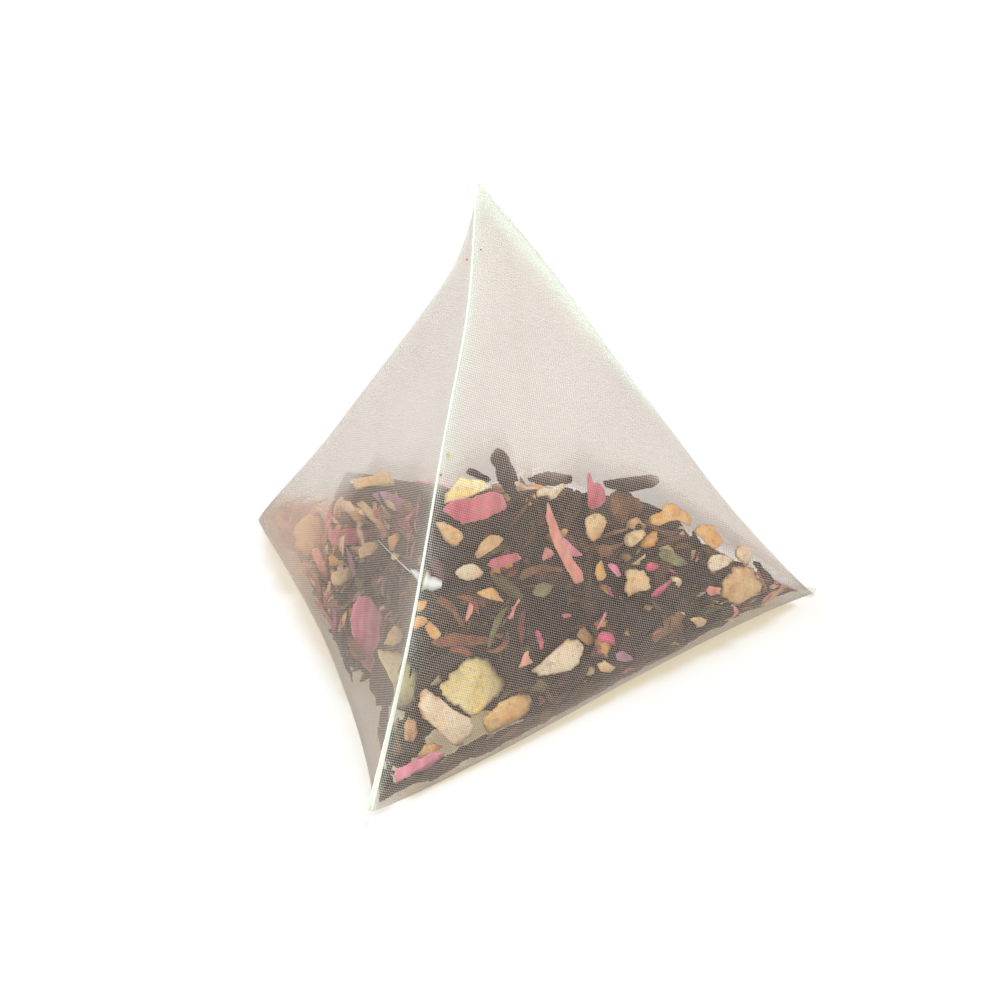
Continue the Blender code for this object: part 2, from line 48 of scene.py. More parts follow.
SHIFT, SETTLE, FLAT, SAG, SOFT = -3.0, 2.5, 2.5, 0.02, 3.3
YAW = math.radians(1.7)
UPPER_POWERS = (4.0, 3.5, 2.9)
LOWER_POWERS = (5.3, 3.5, 2.9)
PLAN = np.array([2.980, -0.492, 0.0])  # from the part's frame to the middle of the plan
MM = 0.001

# Weave
LENGTHWISE, CROSSWISE = 514, 243
THREAD = 0.034

RISE = SEAL * SEAL / (2 * TUBE)
HEIGHT = math.sqrt(SEAL * SEAL - RISE * RISE)
TOP = np.array([0.0, RISE - TUBE / 2, HEIGHT])
FOOT = np.array([0.0, -TUBE / 2, 0.0])
REAR = np.array([0.0, TUBE / 2, 0.0])
MIDDLE = (TOP + FOOT) / 2
UP_SEAL = (TOP - FOOT) / SEAL
INWARD = (REAR - MIDDLE) / np.linalg.norm(REAR - MIDDLE)
DEPTH = np.linalg.norm(REAR - MIDDLE)


def section(flat, deep, square_up, square_down, shares):
    """One closed curve with the girth of the tube: places at even shares of its length."""
    turn = np.linspace(0, 2 * math.pi, 1441)
    cos, sin = np.cos(turn), np.sin(turn)
    power = np.where(cos > 0, 2 / square_up, 2 / square_down)
    p = flat * np.sign(cos) * np.abs(cos) ** power
    q = deep * np.sign(sin) * np.abs(sin) ** power
    length = np.concatenate([[0.0], np.cumsum(np.hypot(np.diff(p), np.diff(q)))])
    girth = 2 * SEAL / length[-1]
    share = length / length[-1]
    return girth * np.interp(shares, share, p), girth * np.interp(shares, share, q)


def ring(u, shares):
    """One ring of the tube at share u of the way from the front seal to the rear one."""
    up = np.interp(u, [0, 0.5, 1], UPPER_POWERS)
    down = np.interp(u, [0, 0.5, 1], LOWER_POWERS)
    p, q = section(1 - u + 1e-4, u + 1e-4, up, down, shares)
    side = np.array([math.cos(YAW * u), math.sin(YAW * u), 0.0])
    points = MIDDLE + INWARD * DEPTH * u + np.outer(p, UP_SEAL) + np.outer(q, side)
    along = np.clip((p / (SEAL / 2) + 1) / 2, 0, 1)
    points[:, 0] += BOW * np.sin(math.pi * along) * (1 - u) ** 1.5 + SHIFT * u * u
    z = points[:, 2]
    points[:, 0] += LEAN * np.clip(z / HEIGHT, 0, 1.1) ** 2
    points[:, 0] += CROWN * np.exp(-(((z - 0.8 * HEIGHT) / 7) ** 2))
    out = points[:, :2] - np.array([0.0, 2.0])
    far = np.hypot(out[:, 0], out[:, 1]) + 1e-9
    drawn = WAIST * np.exp(-(((z - 12) / 6) ** 2)) * np.clip(1 - far / 34, 0, 1)
    points[:, :2] -= out * (drawn / far)[:, None]
    lifted = points[:, 2] + SETTLE - SAG * points[:, 1]
    lifted = (lifted + np.sqrt(lifted * lifted + SOFT * SOFT)) / 2 - FLAT
    points[:, 2] = np.maximum(lifted, 0)
    return points


def outward_normals(grid):
    """Unit normals of a grid of points, turned away from its middle."""
    around = np.roll(grid, -1, 1) - np.roll(grid, 1, 1)
    along = np.gradient(grid, axis=0)
    normal = np.cross(along, around)
    normal /= np.linalg.norm(normal, axis=2)[..., None] + 1e-12
    if np.sum(normal * (grid - grid.mean(axis=(0, 1)))) < 0:
        normal = -normal
    return normal


# Materials
def links(made):
    tree = made.node_tree
    return tree.nodes, tree.links, tree.nodes["Principled BSDF"]


def new_material(name, rough, sheen=0.0, specular=0.5):
    made = bpy.data.materials.new(name)
    made.use_nodes = True
    shader = made.node_tree.nodes["Principled BSDF"]
    shader.inputs["Roughness"].default_value = rough
    shader.inputs["Sheen Weight"].default_value = sheen
    shader.inputs["Specular IOR Level"].default_value = specular
    return made


def noise_node(nodes, wires, where, scale, detail=4.0, rough=0.55, distort=0.0):
    node = nodes.new("ShaderNodeTexNoise")
    node.inputs["Scale"].default_value = scale
    node.inputs["Detail"].default_value = detail
    node.inputs["Roughness"].default_value = rough
    node.inputs["Distortion"].default_value = distort
    wires.new(where, node.inputs["Vector"])
    return node.outputs["Fac"]


def ramp_node(nodes, wires, value, stops):
    node = nodes.new("ShaderNodeValToRGB")
    ramp = node.color_ramp
    while len(ramp.elements) < len(stops):
        ramp.elements.new(0.5)
    for element, (place, colour) in zip(ramp.elements, stops):
        element.position = place
        element.color = (*colour, 1.0) if hasattr(colour, "__len__") else (colour,) * 3 + (1.0,)
    wires.new(value, node.inputs["Fac"])
    return node.outputs["Color"]


def mix_node(nodes, wires, share, first, second, kind="MIX"):
    node = nodes.new("ShaderNodeMix")
    node.data_type = "RGBA"
    node.blend_type = kind
    for socket, value in ((node.inputs[0], share), (node.inputs[6], first), (node.inputs[7], second)):
        if hasattr(value, "is_linked"):
            wires.new(value, socket)
        elif hasattr(value, "__len__"):
            socket.default_value = (*value, 1.0)
        else:
            socket.default_value = value
    return node.outputs[2]


def bump_node(nodes, wires, height, strength, distance):
    node = nodes.new("ShaderNodeBump")
    node.inputs["Strength"].default_value = strength
    node.inputs["Distance"].default_value = distance
    wires.new(height, node.inputs["Height"])
    return node.outputs["Normal"]


def attribute_node(nodes, name, output):
    node = nodes.new("ShaderNodeAttribute")
    node.attribute_name = name
    return node.outputs[output]


def place_node(nodes):
    return nodes.new("ShaderNodeTexCoord").outputs["Object"]


def fruit_material(name, pale, mid, rind):
    """Dried fruit: pale flesh, deeper patches, toasted rims and a fine crumb."""
    made = new_material(name, 0.62, 0.15, 0.35)
    nodes, wires, shader = links(made)
    where = place_node(nodes)
    patches = noise_node(nodes, wires, where, 420, 5, 0.6)
    flesh = ramp_node(nodes, wires, patches, [(0.40, pale), (0.62, mid), (0.85, rind)])
    edge = attribute_node(nodes, "edge", "Fac")
    rough_edge = noise_node(nodes, wires, where, 900, 4, 0.6)
    sum_node = nodes.new("ShaderNodeMath")
    sum_node.operation = "MULTIPLY"
    wires.new(edge, sum_node.inputs[0])
    wires.new(rough_edge, sum_node.inputs[1])
    toasted = ramp_node(nodes, wires, sum_node.outputs[0], [(0.25, 0.0), (0.52, 0.85)])
    colour = mix_node(nodes, wires, toasted, flesh, rind)
    fine = noise_node(nodes, wires, where, 2600, 2, 0.5)
    specks = ramp_node(nodes, wires, fine, [(0.30, 0.72), (0.46, 1.0)])
    wires.new(mix_node(nodes, wires, 1.0, colour, specks, "MULTIPLY"), shader.inputs["Base Color"])
    grain = noise_node(nodes, wires, where, 1100, 8, 0.72)
    wires.new(bump_node(nodes, wires, grain, 0.8, 0.0004), shader.inputs["Normal"])
    return made


def petal_material(name, deep, pale):
    """A dried petal: fine veins along it, paler and drier at the rim."""
    made = new_material(name, 0.55, 0.3, 0.35)
    nodes, wires, shader = links(made)
    where = place_node(nodes)
    veins = nodes.new("ShaderNodeTexWave")
    veins.inputs["Scale"].default_value = 420
    veins.inputs["Distortion"].default_value = 5
    veins.inputs["Detail"].default_value = 3
    veins.inputs["Detail Scale"].default_value = 1.2
    wires.new(where, veins.inputs["Vector"])
    blotch = noise_node(nodes, wires, where, 380, 4, 0.6)
    base = ramp_node(nodes, wires, blotch, [(0.3, deep), (0.72, pale)])
    streak = ramp_node(nodes, wires, veins.outputs["Fac"], [(0.0, 0.86), (1.0, 1.06)])
    colour = mix_node(nodes, wires, 1.0, base, streak, "MULTIPLY")
    edge = attribute_node(nodes, "edge", "Fac")
    rim = ramp_node(nodes, wires, edge, [(0.72, 0.0), (1.0, 0.55)])
    wires.new(mix_node(nodes, wires, rim, colour, pale), shader.inputs["Base Color"])
    wires.new(bump_node(nodes, wires, veins.outputs["Fac"], 0.4, 0.0001), shader.inputs["Normal"])
    return made


def leaf_material(name, deep, mid, dry):
    """A withered leaf: wrinkled, dark, with dry lighter ridges."""
    made = new_material(name, 0.7, 0.0, 0.25)
    nodes, wires, shader = links(made)
    where = place_node(nodes)
    blotch = noise_node(nodes, wires, where, 650, 5, 0.65, 0.4)
    base = ramp_node(nodes, wires, blotch, [(0.3, deep), (0.55, mid), (0.78, dry)])
    wires.new(base, shader.inputs["Base Color"])
    wrinkles = noise_node(nodes, wires, where, 1500, 5, 0.7, 1.0)
    wires.new(bump_node(nodes, wires, wrinkles, 0.7, 0.0003), shader.inputs["Normal"])
    return made


def tone_material(name):
    """Small shreds, each with its own tone, wrinkled and unevenly dark."""
    made = new_material(name, 0.72, 0.0, 0.2)
    nodes, wires, shader = links(made)
    where = place_node(nodes)
    tone = attribute_node(nodes, "tone", "Color")
    blotch = noise_node(nodes, wires, where, 1100, 5, 0.65)
    mottle = ramp_node(nodes, wires, blotch, [(0.3, 0.55), (0.72, 1.35)])
    wires.new(mix_node(nodes, wires, 1.0, tone, mottle, "MULTIPLY"), shader.inputs["Base Color"])
    wrinkles = noise_node(nodes, wires, where, 2200, 4, 0.6)
    wires.new(bump_node(nodes, wires, wrinkles, 0.6, 0.0002), shader.inputs["Normal"])
    return made


def gauze_material(name, plain, bright, shaded=None):
    """Slightly glossy plastic thread, beige, with a pale mint painted sheen where the folds catch the light,
    and with a shaded colour, if given, as painted shade over the contents.
    """
    made = new_material(name, 0.38, 0.2, 0.5)
    nodes, wires, shader = links(made)
    mint_and_painted_sheen = attribute_node(nodes, "mint_and_painted_sheen", "Fac")
    where = place_node(nodes)
    cloud = ramp_node(nodes, wires, noise_node(nodes, wires, where, 90, 3, 0.5), [(0.35, 0.94), (0.65, 1.05)])
    # Painted shade: over the contents the threads take the darker shaded colour; in the empty top the lighter
    # colour stands for light coming through them from behind.
    if shaded:
        plain = mix_node(nodes, wires, attribute_node(nodes, "empty_top", "Fac"), shaded, plain)
    # Painted sheen: the pale mint colour is mixed in where the folds catch the light, and at the seals.
    colour = mix_node(nodes, wires, mint_and_painted_sheen, plain, bright)
    wires.new(mix_node(nodes, wires, 1.0, colour, cloud, "MULTIPLY"), shader.inputs["Base Color"])
    return made


def tube_faces(start, stations, sides):
    """Faces of a closed tube from one ring of points to the next, with a cap at each end."""
    faces = []
    for i in range(stations - 1):
        for j in range(sides):
            k = (j + 1) % sides
            a, b = start + i * sides, start + (i + 1) * sides
            faces.append((a + k, a + j, b + j, b + k))
    faces.append(tuple(range(start, start + sides)))
    faces.append(tuple(reversed(range(start + (stations - 1) * sides, start + stations * sides))))
    return faces


def add_object(name, points, faces, look, floats=None, colours=None, closed=True):
    mesh = bpy.data.meshes.new(name)
    points = (np.asarray(points, float) + PLAN) * MM
    mesh.from_pydata(points.tolist(), [], faces if isinstance(faces, list) else faces.tolist())
    if closed:
        shell = bmesh.new()
        shell.from_mesh(mesh)
        bmesh.ops.recalc_face_normals(shell, faces=shell.faces)
        shell.to_mesh(mesh)
        shell.free()
    mesh.materials.append(look)
    mesh.shade_smooth()
    for key, values in (floats or {}).items():
        made = mesh.attributes.new(key, "FLOAT", "POINT")
        made.data.foreach_set("value", np.asarray(values, np.float32))
    for key, values in (colours or {}).items():
        made = mesh.attributes.new(key, "FLOAT_COLOR", "POINT")
        rows = np.ones((len(points), 4), np.float32)
        rows[:, :3] = values
        made.data.foreach_set("color", rows.ravel())
    made = bpy.data.objects.new(name, mesh)
    bpy.context.scene.collection.objects.link(made)
    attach(made, "root")
    return made


# The gauze surface, on a fine grid of levels and shares
LEVELS, SHARES = 321, 1440
grid_u = np.linspace(0, 1, LEVELS)
grid_s = np.arange(SHARES) / SHARES
surface = np.array([ring(u, grid_s) for u in grid_u])
surface[..., 2] += THREAD + 0.01
surface_out = outward_normals(surface)


def at(u, s):
    """Points and outward normals of the gauze at levels u and shares s."""
    a = np.clip(u, 0, 1) * (LEVELS - 1)
    b = (s % 1.0) * SHARES
    i = np.minimum(a.astype(int), LEVELS - 2)
    j = b.astype(int) % SHARES
    fa, fb = (a - i)[..., None], (b - np.floor(b))[..., None]
    k = (j + 1) % SHARES
    found = []
    for grid in (surface, surface_out):
        near = grid[i, j] * (1 - fb) + grid[i, k] * fb
        far = grid[i + 1, j] * (1 - fb) + grid[i + 1, k] * fb
        found.append(near * (1 - fa) + far * fa)
    found[1] /= np.linalg.norm(found[1], axis=-1)[..., None] + 1e-12
    return found


def fold_distance(u, s):
    """Distance round the tube, in millimetres, to the nearest of the four folds."""
    folds = [u / 4, 0.5 - u / 4, 0.5 + u / 4, 1 - u / 4]
    gaps = [np.abs((s - fold + 0.5) % 1.0 - 0.5) for fold in folds]
    return np.minimum.reduce(gaps) * 2 * SEAL


# Upright axis of the bearings, and the height that the contents reach at each bearing from the front
AXIS = 7.5
FILL_BEARINGS = (-180, -122, -100, -66, -34, 0, 20, 50, 75, 95, 104, 112, 122, 180)
FILL_HEIGHTS = (12, 3, 9.5, 17.5, 18.5, 21.5, 21.5, 20, 19.5, 18, 15, 11.5, 3, 12)

# Height at which the haze of the empty top begins
VEIL_BEARINGS = (-180, -122, -100, -66, -34, -13, 0, 8, 20, 26, 50, 65, 75, 95, 104, 112, 122, 180)
VEIL_HEIGHTS = (12, 3, 9.5, 18.3, 19.8, 22.3, 22.8, 24.7, 25.2, 22.3, 20.7, 21.7, 20, 18.2, 15, 11, 3, 12)


def bearing_of(points):
    """Bearings in degrees from the front, to the right."""
    return np.degrees(np.arctan2(points[..., 0], AXIS - points[..., 1]))


def empty_top_of(points):
    """0 over the contents and 1 in the empty top of the bag."""
    above = points[..., 2] - np.interp(bearing_of(points), VEIL_BEARINGS, VEIL_HEIGHTS)
    share = np.clip((above + 0.4) / 2.8, 0, 1)
    return share * share * (3 - 2 * share)


def painted_sheen_of(u, s, points):
    """How much pale mint the gauze takes: a painted sheen at the folds, stronger higher up, and a band at
    both seals.
    """
    near_fold = np.exp(-((fold_distance(u, s) / 1.5) ** 2)) * np.clip((points[..., 2] - 12) / 12, 0.1, 1)
    near_seal = np.exp(-((u * TUBE / 0.6) ** 2))
    near_rear = np.exp(-(((1 - u) * TUBE / 0.8) ** 2))
    return np.clip(near_fold + near_seal + near_rear, 0, 1)


def thread_rows(rows, normals, radius, closed, sides=3):
    """Thin tubes along rows of points: vertices and faces."""
    count, steps = rows.shape[:2]
    if closed:
        tangent = np.roll(rows, -1, 1) - np.roll(rows, 1, 1)
    else:
        tangent = np.gradient(rows, axis=1)
    tangent /= np.linalg.norm(tangent, axis=2)[..., None] + 1e-12
    across = np.cross(tangent, normals)
    across /= np.linalg.norm(across, axis=2)[..., None] + 1e-12
    up = np.cross(across, tangent)
    points = []
    for k in range(sides):
        turn = 2 * math.pi * k / sides + math.pi / 2
        points.append(rows + radius * (math.cos(turn) * across + math.sin(turn) * up))
    points = np.stack(points, axis=2)
    number = np.arange(count * steps * sides).reshape(count, steps, sides)
    if closed:
        first, second = number, np.roll(number, -1, 1)
    else:
        first, second = number[:, :-1], number[:, 1:]
    faces = np.stack([first, np.roll(first, -1, 2), np.roll(second, -1, 2), second], axis=-1).reshape(-1, 4)
    faces = faces.tolist()
    if not closed:
        faces += number[:, 0, ::-1].tolist() + number[:, -1].tolist()
    return points.reshape(-1, 3), faces


def crowd(count, focus, width):
    """Even steps from 0 to 1 with a part of them drawn towards a focus."""
    even = np.linspace(0, 1, 400)
    density = 1 + 3 * np.exp(-(((even - focus[:, None]) / width) ** 2))
    total = np.cumsum(density, axis=1)
    total = (total - total[:, :1]) / (total[:, -1:] - total[:, :1])
    wanted = np.linspace(0, 1, count)
    return np.array([np.interp(wanted, row, even) for row in total])


s_rows = (np.arange(LENGTHWISE) + 0.5) / LENGTHWISE
quarter = (s_rows * 4) % 1.0
fold_u = np.where((s_rows * 4).astype(int) % 2 == 0, quarter, 1 - quarter)
u_rows = crowd(25, fold_u, 0.06)
s_grid = np.repeat(s_rows[:, None], 25, axis=1)
warp, warp_out = at(u_rows, s_grid)
warp_points, warp_faces = thread_rows(warp + warp_out * THREAD * 0.35, warp_out, THREAD / 2, False)
warp_sheen = np.repeat(painted_sheen_of(u_rows, s_grid, warp).ravel(), 3)

u_rings = (np.arange(CROSSWISE) + 0.5) / CROSSWISE
steps = []
for u in u_rings:
    folds = np.array([-u / 4, u / 4, 0.5 - u / 4, 0.5 + u / 4, 1 - u / 4])
    row = []
    for a, b in zip(folds[:-1], folds[1:]):
        part = (1 - np.cos(math.pi * (0.5 + np.arange(21)) / 21)) / 2
        even = (0.5 + np.arange(21)) / 21
        row.append(a + (b - a) * (0.6 * part + 0.4 * even))
    steps.append(np.concatenate(row))
s_rings = np.array(steps)
u_grid = np.repeat(u_rings[:, None], s_rings.shape[1], axis=1)
weft, weft_out = at(u_grid, s_rings)
weft_points, weft_faces = thread_rows(weft - weft_out * THREAD * 0.35, weft_out, THREAD / 2, True)
weft_sheen = np.repeat(painted_sheen_of(u_grid, s_rings, weft).ravel(), 3)

# Thread colours: lighter in the empty top as painted light from behind, pale mint as painted sheen, darker
# over the contents as painted shade.
gauze_look = gauze_material("gauze_thread", (0.705, 0.655, 0.61), (0.84, 0.90, 0.82), (0.47, 0.40, 0.345))
start = len(warp_points)
gauze = add_object(
    "gauze_weave",
    np.vstack([warp_points, weft_points]),
    warp_faces + [[v + start for v in face] for face in weft_faces],
    gauze_look,
    floats={
        "mint_and_painted_sheen": np.concatenate([warp_sheen, weft_sheen]),
        "empty_top": np.repeat(np.concatenate([empty_top_of(warp).ravel(), empty_top_of(weft).ravel()]), 3),
    },
)
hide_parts("gauze_bag")
gauze.visible_shadow = False

# The haze of the fine weave: a film between the threads, clearest over the contents
film_u = np.linspace(0, 1, 81)
film_s = np.arange(160) / 160
film_u, film_s = np.meshgrid(film_u, film_s, indexing="ij")
film, film_out = at(film_u, film_s)
number = np.arange(film_u.size).reshape(film_u.shape)
aside = np.roll(number, -1, 1)
film_faces = np.stack([number[:-1], aside[:-1], aside[1:], number[1:]], axis=-1).reshape(-1, 4)
film_look = new_material("gauze_haze", 0.6, 0.1, 0.3)
nodes, wires, shader = links(film_look)
empty_top = attribute_node(nodes, "empty_top", "Fac")
mint_and_painted_sheen = attribute_node(nodes, "mint_and_painted_sheen", "Fac")
beige = mix_node(nodes, wires, empty_top, (0.90, 0.64, 0.50), (0.745, 0.695, 0.645))
# Painted sheen: the film turns pale mint at the folds and seals.
wires.new(mix_node(nodes, wires, mint_and_painted_sheen, beige, (0.80, 0.90, 0.80)), shader.inputs["Base Color"])
wires.new(attribute_node(nodes, "haze", "Fac"), shader.inputs["Alpha"])
film_bearing = bearing_of(film)
soft = np.clip((-72 - film_bearing) / 25, 0, 1) * (film_bearing > -130)
film_empty_top = empty_top_of(film)
film_sheen = painted_sheen_of(film_u, film_s, film)
haze = 0.01 + 0.50 * film_empty_top + 0.05 * film_sheen + 0.50 * soft * (1 - film_empty_top)
haze_film = add_object(
    "gauze_haze",
    (film - film_out * 0.06).reshape(-1, 3),
    film_faces,
    film_look,
    floats={"mint_and_painted_sheen": film_sheen.ravel(), "empty_top": film_empty_top.ravel(), "haze": haze.ravel()},
    closed=False,
)
haze_film.visible_shadow = False

# The inside of the bag, as the contents meet it
CENTRE = Vector((0.0, 4.0, 11.0))
AROUND, ALONG, EDGE = 36, 15, 0.028
shares = np.arange(AROUND) / AROUND
skin = np.array([ring(u, shares) for u in np.linspace(EDGE, 1 - EDGE, ALONG + 1)])
skin_out = outward_normals(skin)
skin[..., 2] += WALL / 2
inner = skin - skin_out * WALL / 2
inner[..., 2] = np.maximum(inner[..., 2], 0.8 * WALL)
lining_faces = []
for i in range(ALONG):
    for j in range(AROUND):
        k = (j + 1) % AROUND
        lining_faces.append((i * AROUND + j, i * AROUND + k, (i + 1) * AROUND + k, (i + 1) * AROUND + j))
lining_faces.append(tuple(range(AROUND)))
lining_faces.append(tuple(range(ALONG * AROUND, (ALONG + 1) * AROUND)))
inside = BVHTree.FromPolygons([tuple(p) for row in inner for p in row], lining_faces)


def wall_point(bearing, height):
    """Point of the wall's inner side and its normal at a bearing and a height."""
    turn = math.radians(bearing)
    way = Vector((math.sin(turn), -math.cos(turn), 0.0))
    hit, normal = inside.ray_cast(Vector((0.0, AXIS, height)), way)[:2]
    return hit, (normal if normal.dot(CENTRE - hit) > 0 else -normal)


# The way into the bag from its front right side
FACING, TILT = math.radians(18.5), math.radians(25)
VIEW = Vector((-math.sin(FACING) * math.cos(TILT), math.cos(FACING) * math.cos(TILT), -math.sin(TILT)))
ACROSS_VIEW = Vector((math.cos(FACING), math.sin(FACING), 0.0))
UP_VIEW = ACROSS_VIEW.cross(VIEW)


def follow_wall(shape, bearing, height, depth, turn, sunk="middle"):
    """Lays local points (along, across, deep) behind the gauze.

    They follow its curve, sunk towards the middle of the bag, straight in from its front, or a mix of both.
    Pieces behind the steep left wall lie in a plane that faces the front instead.
    """
    hit, normal = wall_point(bearing, height)
    angle = math.radians(turn)
    if sunk == "front":
        along = ACROSS_VIEW * math.cos(angle) + UP_VIEW * math.sin(angle)
        across = UP_VIEW * math.cos(angle) - ACROSS_VIEW * math.sin(angle)
        return [tuple(hit + along * a + across * b + VIEW * (depth + c)) for a, b, c in shape]
    rise = (Vector((0.0, 0.0, 1.0)) - normal * normal.z).normalized()
    right = normal.cross(rise)
    along = right * math.cos(angle) + rise * math.sin(angle)
    across = rise * math.cos(angle) - right * math.sin(angle)
    lean = max(0.55, abs((hit - CENTRE).normalized().dot(normal)))
    placed = []
    for a, b, c in shape:
        way = (hit + along * a + across * b - CENTRE).normalized()
        met = inside.ray_cast(CENTRE, way)[0]
        if sunk == "middle":
            placed.append(tuple(met - way * ((depth + c) / lean)))
        elif sunk == "straight":
            placed.append(tuple(met - way * (0.75 / lean) + VIEW * ((depth - 0.35 + c) / 0.75)))
        else:
            placed.append(tuple(met - way * (depth / lean) + VIEW * c))
    return placed


# Pieces already laid: lowest and highest corners, points and surface of each
CLEAR = 0.25
settled = []
all_points, all_faces = [], []


def clear_of_wall(laid):
    """True for points that lie inside the wall, with a gap."""
    for p in laid[::4]:
        way = Vector(p) - CENTRE
        met = inside.ray_cast(CENTRE, way.normalized())[0]
        if met is None or (met - CENTRE).length < way.length + CLEAR:
            return False
        if inside.find_nearest(Vector(p))[3] < CLEAR:
            return False
    return True


def clear_of_pieces(laid, faces):
    """True for a piece that neither cuts nor touches one laid before it."""
    gap = CLEAR
    points = np.array(laid)
    low, high = points.min(axis=0) - gap, points.max(axis=0) + gap
    own = None
    for other_low, other_high, other_points, tree in settled:
        if (low > other_high).any() or (high < other_low).any():
            continue
        own = own or BVHTree.FromPolygons(laid, faces)
        if own.overlap(tree):
            return False
        near = other_points[((other_points > low) & (other_points < high)).all(axis=1)]
        if any(own.find_nearest(Vector(p), gap)[0] is not None for p in near):
            return False
        inner = points[((points > other_low - gap) & (points < other_high + gap)).all(axis=1)]
        if any(tree.find_nearest(Vector(p), gap)[0] is not None for p in inner):
            return False
    return True


def settle(laid, faces):
    points = np.array(laid)
    settled.append((points.min(axis=0), points.max(axis=0), points, BVHTree.FromPolygons(laid, faces)))
    start = len(all_points)
    all_points.extend(laid)
    all_faces.extend(tuple(v + start for v in face) for face in faces)


def rough(point, scale, seed):
    return noise.fractal(Vector(point) * scale + Vector((seed * 7.3, seed * 3.1, seed * 1.7)), 0.9, 2.0, 4)


def smooth_outline(corners, count):
    """Evenly spaced points on an outline with its corners cut round."""
    line = corners
    cut = 0.08
    for _ in range(2):
        ahead = np.roll(line, -1, 0)
        line = np.stack([(1 - cut) * line + cut * ahead, cut * line + (1 - cut) * ahead], 1).reshape(-1, 2)
    closed = np.vstack([line, line[:1]])
    length = np.concatenate([[0], np.cumsum(np.linalg.norm(np.diff(closed, axis=0), axis=1))])
    wanted = np.arange(count) / count * length[-1]
    return np.stack([np.interp(wanted, length, closed[:, 0]), np.interp(wanted, length, closed[:, 1])], 1)


# Pieces are laid with a hair's breadth between them, and those beyond this bearing lie behind the rear face
INSET = 0.16
REAR_BEARING = 125


def solid_piece(outline, thick, seed, power, lumps, jag, facets=0, folds=(), curl=0.0, toast=None):
    """A closed chunk or sheet: local points, faces, and how near each point is to a toasted rim."""
    rings, turns = 10, 66
    cuts = random.Random(seed)
    line = smooth_outline(outline, turns)
    middle = line.mean(axis=0)
    radius = np.linalg.norm(line - middle, axis=1).mean()
    line = middle + (line - middle) * (1 - INSET / radius)
    planes = []
    for _ in range(facets):
        planes.append((cuts.uniform(0, 360), cuts.uniform(0.2, 0.75) * radius, cuts.uniform(0.1, 0.36)))
    shape, edge = [], []

    def add(x, y, share, side):
        lift = (1 - share**power) ** (1 / power) if share < 1 else 0.0
        deep = 0.2 * thick * (1 - lift) if side > 0 else thick * (0.2 + 0.8 * lift)
        cut = 0.0
        for angle, offset, slope in (*planes, *folds):
            turned = math.radians(angle)
            way = (x - middle[0]) * math.cos(turned) + (y - middle[1]) * math.sin(turned)
            cut = max(cut, (way - offset) * slope)
        deep += min(cut, 0.7)
        deep += curl * ((x * x + y * y) / (radius * radius)) * radius * 0.3
        push = rough((x, y, side * 2.0), 1.1 / max(radius, 0.8) + 0.3, seed) * lumps * radius
        push += rough((x, y, side), 2.6, seed) * 0.05 * min(1.0, thick)
        shape.append((x, y, deep - side * push * lift))
        burnt = share**2.5
        if toast is not None:
            turned = math.atan2(y - middle[1], x - middle[0]) - math.radians(toast)
            burnt *= 0.35 + 0.65 * max(0.0, math.cos(turned))
        edge.append(burnt)

    add(middle[0], middle[1], 0.0, 1)
    for side, order in ((1, range(1, rings + 1)), (-1, range(rings - 1, 0, -1))):
        for r in order:
            share = (r / rings) ** 0.8
            for n, (x, y) in enumerate(line):
                ragged = 1 + jag * (rough((x, y, 9.0), 1.6, seed + 5) - 0.5) * share * 2
                out = share * ragged
                add(middle[0] + (x - middle[0]) * out, middle[1] + (y - middle[1]) * out, share, side)
    add(middle[0], middle[1], 0.0, -1)
    total = 2 * rings - 1
    last = len(shape) - 1
    found = []
    for j in range(turns):
        k = (j + 1) % turns
        found.append((0, 1 + j, 1 + k))
        for i in range(total - 1):
            a, b = 1 + i * turns, 1 + (i + 1) * turns
            found.append((a + j, b + j, b + k, a + k))
        a = 1 + (total - 1) * turns
        found.append((a + j, last, a + k))
    low = min(p[2] for p in shape)
    return [(a, b, c - low) for a, b, c in shape], found, edge


def oval(length, width, count, power, taper, rough_share, pace, phase):
    """A squarish oval, tapering towards its ends, with an uneven rim."""
    points = []
    for n in range(count):
        turn = 2 * math.pi * n / count
        x = math.copysign(abs(math.cos(turn)) ** power, math.cos(turn))
        y = math.copysign(abs(math.sin(turn)) ** 0.6, math.sin(turn)) * (1 - taper * abs(x) ** 2.5)
        size = 1 + rough_share * math.sin(pace * n + phase)
        points += (x * size * length / 2, y * size * width / 2)
    return points


def block(length, width):
    """Outline of a rough cut chunk."""
    return oval(length, width, 14, 0.6, 0.0, 0.14, 5.1, 3.7)


def leafy(length, width):
    """Outline of a petal or a broken leaf."""
    return oval(length, width, 16, 0.75, 0.5, 0.08, 4.3, 2.9)


# Tones of the pieces: pale, middle and rind of fruit, deep and pale of petals, deep, middle and dry of leaves
FRUIT = {
    "lemon": ((1.0, 0.90, 0.50), (0.99, 0.80, 0.30), (0.66, 0.30, 0.07)),
    "cream": ((0.98, 0.83, 0.60), (0.93, 0.69, 0.42), (0.66, 0.30, 0.09)),
    "tan": ((0.94, 0.70, 0.38), (0.80, 0.46, 0.19), (0.46, 0.18, 0.06)),
    "orange": ((0.96, 0.64, 0.26), (0.88, 0.42, 0.10), (0.50, 0.18, 0.04)),
}
PETALS = {
    "rose": ((0.50, 0.06, 0.12), (0.78, 0.24, 0.27)),
    "pink": ((0.70, 0.13, 0.26), (0.88, 0.36, 0.46)),
    "salmon": ((0.74, 0.20, 0.17), (0.90, 0.45, 0.33)),
    "mauve": ((0.30, 0.10, 0.19), (0.58, 0.30, 0.42)),
}
